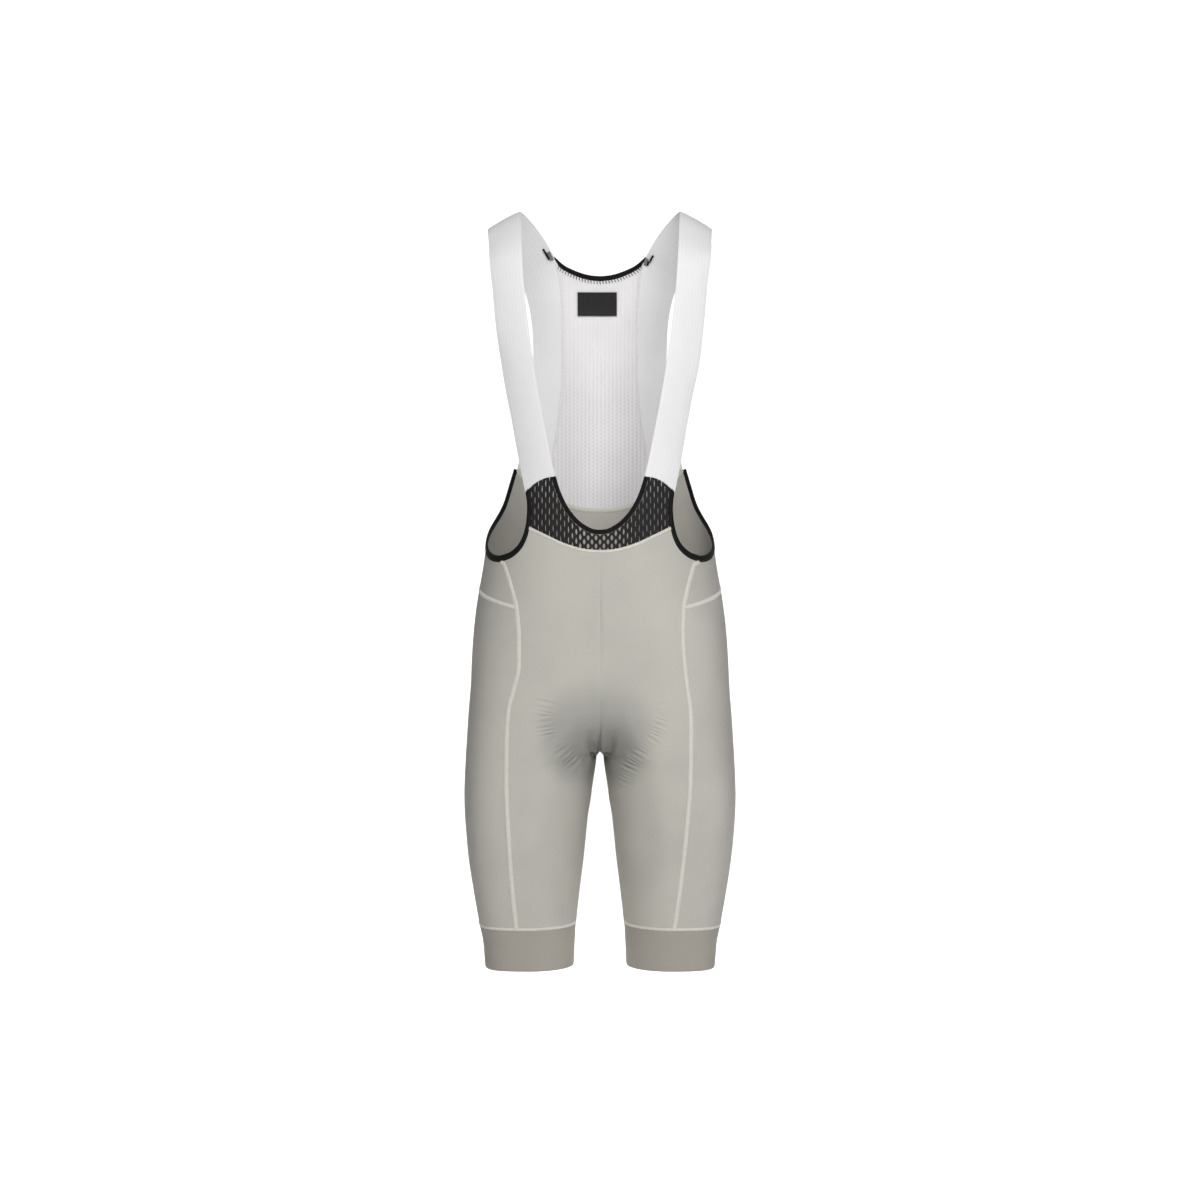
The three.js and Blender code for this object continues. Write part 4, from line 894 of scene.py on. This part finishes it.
def thread_finish(name, colour, shade, roughness=0.6):
    """Sewing thread: two plies that wind round each other, a little darker between them."""
    def pattern(yarn):
        x, _, z = measures_of(yarn, yarn.node("ShaderNodeTexCoord", output=3))
        plies = ripple(x + z, 0.0009)
        return (1 - plies) * 0.5 + (cloudy(yarn, 0.004) - 0.5) * 0.8, plies

    return new_finish(name, colour, shade, roughness, 0.15, 0.00008, 0.6, pattern)


seam_finish = thread_finish("seam_thread", (228, 226, 217), (207, 204, 195))
seat_line = upright(1, np.linspace(-356, -699, 140))
inner_leg_line = upright(0, np.linspace(CROTCH_Z, -849, 60))
hem_line = np.stack([np.linspace(0, 1, 150), np.full(150, GRIPPER_SEAM_Z)], axis=1)
yoke_lines = [np.linspace(front_seams[leg][yoke_row], back_seam[yoke_row], 41) for leg, _ in LEGS]
back_top_paths = [cloth_path(back_top, side, lift) for _, side in LEGS for lift in (ON_TOP, -ON_TOP)]


def on_both(left, right):
    """The paths of a seam on the left and on the right half."""
    return [cloth_path(left, -1), cloth_path(right, 1)]


SEAMS = [
    ("flatlock_front_seams", on_both(front_seams["left"][::3], front_seams["right"][::3]), SEAM_SIZES),
    ("flatlock_yoke_seams", on_both(*yoke_lines), SEAM_SIZES),
    ("flatlock_side_seams", on_both(back_seam[::3], back_seam[::3]), SEAM_SIZES),
    ("flatlock_net_seam", on_both(net_seam, net_seam), NARROW_SIZES),
    ("flatlock_gripper_seams", on_both(hem_line, hem_line), NARROW_SIZES),
    ("flatlock_seat_seam", [cloth_path(seat_line, 1)], SEAM_SIZES),
    ("flatlock_inner_leg_seams", on_both(inner_leg_line, inner_leg_line), SEAM_SIZES),
    ("flatlock_back_top_seam", back_top_paths, SEAM_SIZES),
]
for name, paths, sizes in SEAMS:
    along_path(name, flatlock_tree, seam_finish, "shorts_fabric", paths, sizes)

# Belly net: one piece of black openwork knit between the shorts and the straps, with staggered
# openings that are wide in the middle and close to upright slits towards the arm openings. A flat
# lattice of cells is made first, cut to the outline of the net and then laid on the figure.
NET_WALL = 1.1
NECKLINE = [
    # x, z from the middle up to the strap
    (0, -385), (8, -384), (15.5, -380.4), (21.5, -376.4), (27, -371.4), (32, -365.6), (36.4, -359.4),
    (40.6, -352), (44.3, -344), (48, -334), (51.2, -323),
]
STRAP_FOOT = [(86.5, -341), (77.5, -332.6), (69, -327.2), (60.5, -324.3), (51.2, -323)]
NECK_BINDING_WIDTH = 5.5


def cloth_at_x(places, behind):
    """Places on the cloth at distances x from the middle and heights z, and the directions outwards."""
    x, z = np.array(places, dtype=float).T
    return cloth(share_at_x(x, z, behind), z)


def across_path(point, normal, towards):
    """Directions across a path in the cloth, on the side of one place."""
    run = np.gradient(point, axis=0)
    over = unit(np.cross(normal, run))
    facing = np.sign(np.einsum("ij,ij->i", over, np.array(towards) - point))
    return over * facing[:, None]


neck_half_point, neck_half_normal = (smooth(part, 5) for part in cloth_at_x(NECKLINE, False))
neck_point, neck_normal = (
    np.concatenate([(half[1:] * MIRROR)[::-1], half]) for half in (neck_half_point, unit(neck_half_normal))
)
neck_across = across_path(neck_point, neck_normal, (0, -110, -600))
neck_outer = (neck_point + neck_across * NECK_BINDING_WIDTH)[len(neck_point) // 2:]


def flat_of(places):
    """Flat measures of places: the way round from the middle, and the height."""
    return np.stack([places[:, 0] * girth_at(places[:, 1]), places[:, 1]], axis=1)


foot_flat = smooth(flat_of(places_at(*np.array(STRAP_FOOT, dtype=float).T, False)), 4)
net_half_line = np.concatenate([
    flat_of(net_seam), flat_of(arm_places[:ARM_NET_END * STEPS][::-1]), foot_flat[1:-1],
    flat_of(places_at(np.maximum(neck_outer[:, 0], 0), neck_outer[:, 2], False))[::-1],
])
net_line = np.concatenate([net_half_line, (net_half_line[1:-1] * np.array([-1, 1]))[::-1]])

NET_PITCH = 4.55
NET_TOP_Z = -408.5
CELL_SHARES = {"Opening Width": 0.32, "Opening Height": 0.72}
HALF_CELLS = [
    # six of the twelve corners of a cell, then of its opening; the others lie opposite
    [(0, 0.87), (0.5, 0.5), (1, 0.13), (1, 0), (1, -0.13), (0.5, -0.5)],
    [(0, 1), (0.62, 0.62), (0.95, 0.25), (1, 0), (0.95, -0.25), (0.62, -0.62)],
]
CELL_CORNERS = 12
cell_corners = [(x * turn, y * turn, 0) for half in HALF_CELLS for turn in (1, -1) for x, y in half]
cell_faces = []
for n in range(CELL_CORNERS):
    after = (n + 1) % CELL_CORNERS
    cell_faces.append((n, after, CELL_CORNERS + after, CELL_CORNERS + n))
cell_mesh = bpy.data.meshes.new("net_cell")
cell_mesh.from_pydata(cell_corners, [], cell_faces)
is_hole = cell_mesh.attributes.new("hole", "FLOAT", "POINT")
is_hole.data.foreach_set("value", [0.0] * CELL_CORNERS + [1.0] * CELL_CORNERS)
cell = placed("net_cell", cell_mesh)
lattice_tree, given = new_tree("openwork", CELL_SHARES)
spots = given["Geometry"]
hole_mark = spots.node("GeometryNodeInputNamedAttribute", {"data_type": "FLOAT"}, {"Name": "hole"})
hole_size = spots.node(
    "ShaderNodeCombineXYZ", inputs={"X": given["Opening Width"], "Y": given["Opening Height"], "Z": 1.0})
shrunk = spots.node("ShaderNodeVectorMath", {"operation": "MULTIPLY"},
                    {0: spots.node("GeometryNodeInputPosition"), 1: hole_size})
cell_shape = spots.node("GeometryNodeObjectInfo", inputs={"Object": cell}, output="Geometry")
opened = spots.node("GeometryNodeSetPosition",
                    inputs={"Geometry": cell_shape, "Selection": hole_mark, "Position": shrunk})
laid_cells = spots.node("GeometryNodeInstanceOnPoints", inputs={"Points": spots, "Instance": opened})
real_cells = spots.node("GeometryNodeRealizeInstances", inputs={0: laid_cells})
merged = spots.node("GeometryNodeMergeByDistance", inputs={"Geometry": real_cells, "Distance": 0.01})
close_tree([merged], given["Material"])


def yarn_finish(name, colour, shade, pitch, roughness):
    """A coarse yarn or tape: fine slanting ribs and a mottled colour."""
    def pattern(yarn):
        x, y, z = measures_of(yarn, yarn.node("ShaderNodeTexCoord", output=3))
        ribs = ripple(x + z * 0.8 + y * 0.5, pitch)
        grain = cloudy(yarn, 0.003)
        return (1 - ribs) * 0.6 + (grain - 0.5) * 0.8, ribs + grain * 0.6

    return new_finish(name, colour, shade, roughness, 0.05, 0.0001, 0.7, pattern)


net_finish = yarn_finish("net_yarn", (38, 36, 37), (22, 21, 22), 0.0009, 0.7)
lattice_points = [(c, r, 0) for c in range(-24, 25) for r in range(-4, 22) if (c + r) % 2 == 0]
lattice_mesh = bpy.data.meshes.new("belly_net_knit")
lattice_mesh.from_pydata(lattice_points, [], [])
net = made_by(lattice_tree, "belly_net_knit", lattice_mesh, net_finish, CELL_SHARES)
bpy.data.objects.remove(cell)


def inside_line(places, line):
    """Which places lie within a closed line."""
    x, y = places[:, 0][:, None], places[:, 1][:, None]
    x1, y1 = line.T
    x2, y2 = np.roll(line, -1, axis=0).T
    step = np.where(y2 == y1, 1e-9, y2 - y1)
    crossing = ((y1 > y) != (y2 > y)) & (x < x1 + (y - y1) / step * (x2 - x1))
    return crossing.sum(axis=1) % 2 == 1


def onto_line(places, line):
    """The nearest places on a closed line."""
    start, step = line, np.roll(line, -1, axis=0) - line
    t = np.einsum("pek,ek->pe", places[:, None] - start[None], step)
    t = t / np.maximum((step ** 2).sum(axis=1), 1e-9)
    near = start[None] + np.clip(t, 0, 1)[..., None] * step[None]
    best = np.argmin(((places[:, None] - near) ** 2).sum(axis=2), axis=1)
    return near[np.arange(len(places)), best]


NET_STEP, NET_STEP_OUTSIDE, LONGER_FROM, LONGER_OVER = 4.75, 1.7, 12, 40
CLOSED_BY, CLOSED_FROM, CLOSED_OVER = 0.88, 14, 30
OPENING_LENGTH, OPENING_REACH = 2.2, 0.36
lattice = np.zeros(len(net.data.vertices) * 3)
net.data.vertices.foreach_get("co", lattice)
lattice_x, lattice_y, _ = lattice.reshape(-1, 3).T
net_way = lattice_x * NET_PITCH
net_step = NET_STEP + NET_STEP_OUTSIDE * ease((abs(net_way) - LONGER_FROM) / LONGER_OVER)
cell_x = np.round(lattice_x)
cell_y = 2 * np.round((lattice_y - cell_x) / 2) + cell_x
off_centre = np.hypot(lattice_x - cell_x, (lattice_y - cell_y) / OPENING_LENGTH)
narrowed = 1 - CLOSED_BY * ease((abs(net_way) - CLOSED_FROM) / CLOSED_OVER)
closing = np.where(off_centre < OPENING_REACH, narrowed, 1)
net_way = (cell_x + (lattice_x - cell_x) * closing) * NET_PITCH
net_flat = np.stack([net_way, NET_TOP_Z + lattice_y * net_step], axis=1)
outside = ~inside_line(net_flat, net_line)
net_flat[outside] = onto_line(net_flat[outside], net_line)
faces = [tuple(face.vertices) for face in net.data.polygons]
faces = [face for face in faces if not all(outside[n] for n in face)]
net_share = abs(net_flat[:, 0]) / girth_at(net_flat[:, 1])
net_point = cloth(net_share, net_flat[:, 1])[0]
net_point[:, 0] *= np.where(net_flat[:, 0] < 0, -1, 1)
used = sorted({n for face in faces for n in face})
renumber = {n: k for k, n in enumerate(used)}
net_mesh = bpy.data.meshes.new("belly_net_knit")
net_faces = [tuple(renumber[n] for n in face) for face in faces]
net_mesh.from_pydata((net_point[used] * MM).tolist(), [], net_faces)
net.data = net_mesh
thicken = net.modifiers.new("thickness", "SOLIDIFY")
thicken.thickness = NET_WALL * MM
thicken.offset = 0
rounding = net.modifiers.new("rounding", "SUBSURF")
rounding.levels = rounding.render_levels = 1
wear(settled(net), net_finish, "belly_net", "belly_net")

# Bindings of the arm openings and of the neckline: black stretch tape folded over the raw edge and
# sewn down with one row of stitches near its seam.
binding_finish = yarn_finish("binding_tape", (13, 12, 11), (5, 5, 4), 0.0008, 0.8)
TAPE_SECTION = [
    # share of the width, height over the middle of the cloth in mm
    (0.0, -0.9), (0.0, 0.8), (0.06, 1.2), (0.3, 1.55), (0.6, 1.65), (0.85, 1.45), (0.97, 0.8), (1.0, 0.0),
    (0.97, -0.8), (0.85, -1.15), (0.5, -1.2), (0.12, -1.2),
]


def tape(name, paths):
    """Folded tape with a rounded section along each path of places, outward directions, directions
    across and widths, closed at both ends."""
    shares, heights = np.array(TAPE_SECTION).T
    places, faces = np.zeros((0, 3)), []
    for point, normal, over, widths in paths:
        grid = (point[:, None] + over[:, None] * (shares[None, :] * widths[:, None])[..., None]
                + normal[:, None] * heights[None, :, None])
        number = np.arange(grid[..., 0].size).reshape(grid.shape[:2])
        added = quads(np.concatenate([number, number[:, :1]], axis=1)).tolist()
        added += [number[0].tolist(), number[-1][::-1].tolist()]
        corners = grid.reshape(-1, 3)[added[0]]
        out = corners.mean(axis=0) - grid[:2].reshape(-1, 3).mean(axis=0)
        if np.dot(np.cross(corners[1] - corners[0], corners[2] - corners[0]), out) < 0:
            added = [face[::-1] for face in added]
        faces += [[n + len(places) for n in face] for face in added]
        places = np.concatenate([places, grid.reshape(-1, 3)])
    return new_piece(name, places, faces, 60)


def row_tree(name, turn, lengthwise):
    """A tree that lays one thread in each pitch of a path."""
    tree, given = new_tree(name, ["Pitch", "Reach", "Thread"])
    thread = lying_thread(given["Thread"], given["Reach"], turn, None, lengthwise)
    close_tree([on_each_step(path_with_up(given["Geometry"]), given["Pitch"], thread)], given["Material"])
    return tree


ARM_STITCH_SHARE, ARM_STITCH_RISE = 0.22, 1.5
NECK_STITCH_SHARE, NECK_STITCH_RISE = 0.78, 1.55
stitch_tree = row_tree("stitch_row", 0, True)
stitch_finish = thread_finish("black_thread", (34, 33, 32), (14, 14, 13), 0.45)
STITCH_SIZES = {"Pitch": 2.8, "Reach": 1.0, "Thread": 0.3}


def start_towards(over, first, count):
    """Turns the first directions across a path towards one of its own."""
    weight = np.clip(1 - np.arange(len(over)) / count, 0, 1)[:, None]
    return unit(over * (1 - weight) + first / np.linalg.norm(first) * weight)


strap_corner = cloth_at_x(STRAP_FOOT[:1], False)[0][0]
arm_widths = arm_edge[:, 2]
arm_paths = []
for leg, side in LEGS:
    point, normal = cloth(*arm_places.T, side)
    over = start_towards(across_path(point, normal, (128, 0, -360)), strap_corner - point[0], 3)
    arm_path = [to_side(values, side) for values in (point, normal, over)]
    arm_binding = tape(f"arm_binding_{leg}_tape", [(*arm_path, arm_widths)])
    wear(arm_binding, binding_finish, "black_binding", f"arm_binding_{leg}")
    stitch_line = point + over * (arm_widths * ARM_STITCH_SHARE)[:, None] + normal * ARM_STITCH_RISE
    arm_paths.append((to_side(stitch_line, side), to_side(normal, side)))
along_path("arm_binding_stitches", stitch_tree, stitch_finish, "black_binding", arm_paths, STITCH_SIZES)
neck_widths = np.full(len(neck_point), NECK_BINDING_WIDTH - 0.15)
neck_binding = tape("neckline_binding_tape", [(neck_point, neck_normal, neck_across, neck_widths)])
wear(neck_binding, binding_finish, "black_binding", "neckline_binding")
neck_stitches = neck_point + neck_across * NECK_BINDING_WIDTH * NECK_STITCH_SHARE
neck_stitches = neck_stitches + neck_normal * NECK_STITCH_RISE
along_path("neckline_binding_stitches", stitch_tree, stitch_finish, "black_binding",
           [(neck_stitches, neck_normal)], STITCH_SIZES)

# Straps: two wide bands of soft white ribbed elastic with clean cut edges. Each rises from the belly
# net over the shoulder and runs down the back to the seam of the shorts. Where it hangs free, its
# outer edge waves a little.
STRAP_WALL, STRAP_WIDTH, STRAP_EDGE = 1.3, 42, 0.06
FREE_FROM, FREE_FADE, FREE_TO, FREE_END_FADE = 25, 60, 560, 120
WAVING_SHARE = 0.35
CHEVRON_TOP_Z, CHEVRON_END_Z = -88, -170
STRAP_FRONT = [
    # outer x, outer z, inner x, inner z
    (94.4, -302, 56.6, -300), (102, -260, 64.6, -260), (110, -220, 72, -220), (117, -180, 78.4, -180),
    (121.8, -140, 83.9, -140), (126, -100, 88.2, -100), (130, -66, 91, -60),
]
STRAP_SHOULDER = [
    # outer x, y, z, inner x, y, z
    (132, -33, -39, 93.5, -41, -23), (133.6, -15, -25.5, 94.8, -19, -5), (134, 0, -22, 95, 0, 0),
    (132, 17, -25, 90, 15, -2), (126, 36, -36, 80, 32, -10.5), (115, 54, -52, 68, 50, -24.5),
    (103, 68, -67, 56.8, 67.5, -42), (98, 75, -77, 54.8, 73, -49),
]
STRAP_BACK = [
    # outer x, outer z, inner x, inner z
    (91, -90, 49.5, -68), (85, -120, 46.6, -106), (83.2, -155, 46.5, -148), (83.2, -192, 47, -190),
    (88, -232, 51.2, -236), (95.5, -272, 58, -282),
]
ACROSS = np.linspace(0, 1, 5)
STRAP_STEPS = 8
strap_rows = [cloth_at_x(STRAP_FOOT, False)[0]]
for table, behind in ((STRAP_FRONT, False), (STRAP_SHOULDER, None), (STRAP_BACK, True)):
    for row in np.array(table, dtype=float):
        if behind is None:
            line = row[:3] + (row[3:] - row[:3]) * ACROSS[:, None]
            line[:, 2] += 1.5 * np.sin(math.pi * ACROSS)
        else:
            line = cloth_at_x(row[:2] + (row[2:] - row[:2]) * ACROSS[:, None], behind)[0]
        strap_rows.append(line)
strap_rows.append(cloth(back_top_places[:5, 0], back_top_places[:5, 1])[0])
strap_point = smooth(np.array(strap_rows), STRAP_STEPS)
strap_point = smooth(strap_point.transpose(1, 0, 2), 6).transpose(1, 0, 2)
strap_normal = unit(np.cross(np.gradient(strap_point, axis=0), np.gradient(strap_point, axis=1)))
outwards = np.einsum("ijk,ijk->ij", strap_normal, strap_point - np.array([60, 0, -160]))
strap_normal *= np.where(outwards < 0, -1, 1)[..., None]
strap_steps = np.linalg.norm(np.diff(strap_point[:, strap_point.shape[1] // 2], axis=0), axis=1)
strap_down = np.concatenate([[0], np.cumsum(strap_steps)])[:, None]
strap_over = np.linspace(0, 1, strap_point.shape[1])[None, :]
all_over = np.ones(strap_point.shape[:2])


def strap_pattern(yarn):
    """White ribbed elastic: upright ribs, level picks, and a chevron knit where it crosses the back."""
    way, height = way_and_height(yarn)
    ribs = ripple(way, 0.0042)
    picks = ripple(height, 0.0026)
    chevron = ripple(height + way.maths("PINGPONG", way, 0.006) * 0.9, 0.004)
    back = yarn.node("ShaderNodeAttribute", {"attribute_name": "back"}, output=2)
    clouds = cloudy(yarn, 0.06)
    dark = (1 - ribs) * 0.22 + (1 - picks) * 0.05 + back * chevron * 0.25 + (clouds - 0.5) * 0.4
    return dark, ribs * 0.7 + picks * 0.2 + back * chevron * 0.4


strap_finish = new_finish(
    "strap_elastic", (240, 239, 240), (225, 223, 225), 0.7, 0.1, 0.0001, 0.7, strap_pattern)
for leg, side in LEGS:
    wall = STRAP_WALL * (0.5 + 0.5 * ease(np.minimum(strap_over, 1 - strap_over) / STRAP_EDGE)) * all_over
    free = ease((strap_down - FREE_FROM) / FREE_FADE) * ease((FREE_TO - strap_down) / FREE_END_FADE)
    drift = 0.55 * np.sin(strap_down / 23 + side) + 0.35 * np.sin(strap_down / 11.3 + 2 * side)
    sway = free * drift * ease((WAVING_SHARE - strap_over) / WAVING_SHARE)
    point = strap_point + strap_normal * sway[..., None]
    way = (strap_over * STRAP_WIDTH * all_over, strap_down * all_over)
    on_back = ease((point[..., 1] - 60) / 15) * ease((CHEVRON_TOP_Z - point[..., 2]) / 12)
    on_back = on_back * ease((point[..., 2] - CHEVRON_END_Z) / 16)
    strap = cloth_wall(
        f"strap_{leg}_elastic", point, strap_normal, wall, way, side, marks={"back": on_back})
    wear(strap, strap_finish, "white_strap", f"strap_{leg}")

# Back mesh: one airy white panel between the straps, knitted with upright ribs and rows of small
# openings, and sewn to the straps with a narrow pale flatlock on the inside.
MESH_TOP_ROW = (len(STRAP_FRONT) + len(STRAP_SHOULDER)) * STRAP_STEPS
BACK_NECK = [(44.5, -51.4), (30, -58), (15, -62.4), (0, -64)]
BACK_NECK_BINDING_WIDTH = 5
neck_start, neck_start_normal = (
    values[MESH_TOP_ROW - STRAP_STEPS, -1] for values in (strap_point, strap_normal)
)
back_neck_point, back_neck_normal = cloth_at_x(BACK_NECK, True)
back_neck_point = smooth(np.concatenate([[neck_start], back_neck_point]), 8)
back_neck_normal = unit(smooth(np.concatenate([[neck_start_normal], back_neck_normal]), 8))
mesh_side = strap_point[MESH_TOP_ROW:, -1]
back_neck_over = across_path(back_neck_point, back_neck_normal, (0, 85, -400))
back_neck_over[-1] = (0, back_neck_over[-1, 1], back_neck_over[-1, 2])
back_neck_over = start_towards(back_neck_over, mesh_side[0] - neck_start, 7)
under_tape = back_neck_point + back_neck_over * (BACK_NECK_BINDING_WIDTH + 0.1)
under_tape[0] = mesh_side[0]


def place_of(points):
    """Share and height of places on the back."""
    return places_at(np.maximum(points[:, 0], 0), points[:, 2], True)


MESH_ROWS = len(mesh_side)
side_places = place_of(mesh_side)
middle_places = upright(1, np.linspace(under_tape[-1, 2], -355, MESH_ROWS))
top_places = place_of(under_tape)
bottom_places = along(back_top[4 * STEPS:], len(top_places) - 1)
mesh_share, mesh_z = panel(side_places, middle_places, top_places, bottom_places)
mesh_point, mesh_normal = cloth(mesh_share, mesh_z)
u = np.linspace(0, 1, mesh_point.shape[1])[None, :, None]
v = np.linspace(0, 1, mesh_point.shape[0])[:, None, None]
mesh_point = mesh_point + (1 - u) ** 3 * (mesh_side - mesh_point[:, 0])[:, None]
mesh_point = mesh_point + (1 - v) ** 5 * (under_tape - mesh_point[0])[None, :]
mesh_way = -mesh_point[..., 0]
whole = lambda half, flip: np.concatenate([half, (half[:, :-1] * flip)[:, ::-1]], axis=1)
mesh_point, mesh_normal = whole(mesh_point, MIRROR), whole(mesh_normal, MIRROR)
mesh_way, mesh_z = whole(mesh_way, -1), whole(mesh_z, 1)
MESH_RIB = 0.0049


def mesh_pattern(yarn):
    """White mesh knit: upright ribs, and between them short openings, staggered row by row, sunk in the
    bump and darkened with painted shade, fainter towards the top.
    """
    way, height = way_and_height(yarn)
    ribs = ripple(way, MESH_RIB)
    stagger = yarn.maths("ROUND", way * (1 / MESH_RIB)) * 0.0025
    dashes = ripple(height + stagger, 0.005)
    low = yarn.node("ShaderNodeClamp", inputs={0: (height * -1 - 0.1) * 8.0})
    opening_dents_and_shade = (1 - ribs) * (dashes * 0.7 + 0.3) * (low * 0.8 + 0.2)
    # painted shade in the openings: the colour goes darker where they sink in the bump
    dark = opening_dents_and_shade * 0.5 + (cloudy(yarn, 0.05) - 0.5) * 0.4 + (1 - ripple(height, 0.0011)) * 0.05
    return dark, ribs - opening_dents_and_shade * 0.8


mesh_finish = new_finish(
    "back_mesh_knit", (238, 236, 236), (204, 203, 204), 0.75, 0.1, 0.0003, 0.7, mesh_pattern)
back_mesh = cloth_wall("back_mesh_knit", mesh_point, mesh_normal, STRAP_WALL, way=(mesh_way, mesh_z))
wear(back_mesh, mesh_finish, "white_mesh", "back_mesh")
white_thread = thread_finish("white_thread", (242, 241, 240), (222, 220, 219))
strap_side_paths, foot_paths = [], []
for _, side in LEGS:
    facing = to_side(strap_normal[MESH_TOP_ROW:, -1], side)
    strap_side_paths += [
        (to_side(mesh_side, side) + facing * (turn * STRAP_WALL / 2), facing * turn) for turn in (-1, 1)
    ]
    foot_point, foot_normal = (to_side(values[2], side) for values in (strap_point, strap_normal))
    foot_paths.append((foot_point + foot_normal * 0.7, foot_normal))
along_path("strap_seams", flatlock_tree, white_thread, "white_mesh", strap_side_paths,
           {"Width": 3.6, "Rise": 0.35, "Pitch": 2.2, "Thread": 0.26})
along_path("strap_foot_stitches", stitch_tree, white_thread, "white_strap", foot_paths, STITCH_SIZES)

# Back neck binding: the same black tape along the top of the mesh, with short black thread ends below
# it. Each end turns up on the strap as a thin tail, held by a small dense bar of grey stitches.
tape_point, tape_normal, tape_over = (
    np.concatenate([half, (half[:-1] * MIRROR)[::-1]])
    for half in (back_neck_point, back_neck_normal, back_neck_over)
)
TAIL_WIDTH, WIDER_MIDDLE = 2.4, 1.3
tape_widths = BACK_NECK_BINDING_WIDTH + WIDER_MIDDLE * np.sin(np.linspace(0, math.pi, len(tape_point)))
TAILS = [
    # side, rows of the strap's own grid, column; then rows and column of the bar of stitches
    (-1, (107, 112), (20, 20), (109, 114), 22),
    (1, (110, 120), (20, 21), (113, 121), 23),
]
tape_paths = [(tape_point, tape_normal, tape_over, tape_widths)]
bar_paths = []
for side, rows, columns, bar_rows, bar_column in TAILS:
    along_strap = np.arange(rows[0], rows[1] + 1)
    across_strap = np.round(np.linspace(*columns, len(along_strap))).astype(int)
    facing = to_side(-strap_normal[along_strap, across_strap], side)
    tail = to_side(strap_point[along_strap, across_strap], side) + facing * (STRAP_WALL / 2 + 1.0)
    tail_over = strap_point[along_strap, across_strap + 1] - strap_point[along_strap, across_strap]
    tape_paths.append((tail, facing, unit(to_side(tail_over, side)), np.full(len(tail), TAIL_WIDTH)))
    bar = np.arange(bar_rows[0], bar_rows[1] + 1)
    bar_facing = to_side(-strap_normal[bar, bar_column], side)
    bar_point = to_side(strap_point[bar, bar_column], side) + bar_facing * STRAP_WALL * 0.7
    bar_paths.append((bar_point, bar_facing))
back_binding = tape("back_neck_binding_tape", tape_paths)
wear(back_binding, binding_finish, "black_binding", "back_neck_binding")
grey_thread = thread_finish("grey_thread", (150, 149, 148), (84, 83, 83))
along_path("back_neck_bars", flatlock_tree, grey_thread, "white_strap", bar_paths,
           {"Width": 5.2, "Rise": 0.5, "Pitch": 1.1, "Thread": 0.26})
inner = slice(6, -6)
tick_line = (tape_point + tape_over * (tape_widths + 1.0)[:, None] - tape_normal * 1.5)[inner]
tick_tree = row_tree("loose_ticks", 0.25, False)
along_path("back_neck_binding_stitches", tick_tree, stitch_finish, "black_binding",
           [(tick_line, -tape_normal[inner])], {"Pitch": 3.7, "Reach": 3.4, "Thread": 0.5})

# Neck label: a small woven black label, left bare, sewn flat inside the mesh below the back neck.
LABEL_WIDTH, LABEL_HEIGHT, LABEL_X, LABEL_Z = 49, 28.6, -3.5, -97
LABEL_WALL = 0.8
LABEL_OFFSET = 2.2
label_across, label_down = np.linspace(-0.5, 0.5, 25)[None, :], np.linspace(0.5, -0.5, 15)[:, None]
label_x = LABEL_X + LABEL_WIDTH * label_across + 0 * label_down
label_z = LABEL_Z + LABEL_HEIGHT * label_down + 0 * label_across
label_share = share_at_x(abs(label_x).ravel(), label_z.ravel(), True).reshape(label_x.shape)
label_point, label_normal = cloth(label_share, label_z)
label_turn = np.where(label_x < 0, -1, 1)
label_point[..., 0] *= label_turn
label_normal[..., 0] *= label_turn


def label_pattern(yarn):
    """Satin weave: very fine slanting floats with a faint sheen."""
    way, height = way_and_height(yarn)
    floats = ripple(way + height * 0.6, 0.0007)
    return (1 - floats) * 0.6 + (cloudy(yarn, 0.002) - 0.5), floats


label_finish = new_finish("label_satin", (42, 40, 41), (26, 25, 26), 0.5, 0.0, 0.00006, 0.6, label_pattern)
label = cloth_wall("neck_label_satin", label_point - label_normal * LABEL_OFFSET, label_normal,
                   LABEL_WALL, (label_x, label_z))
wear(label, label_finish, "neck_label", "neck_label")
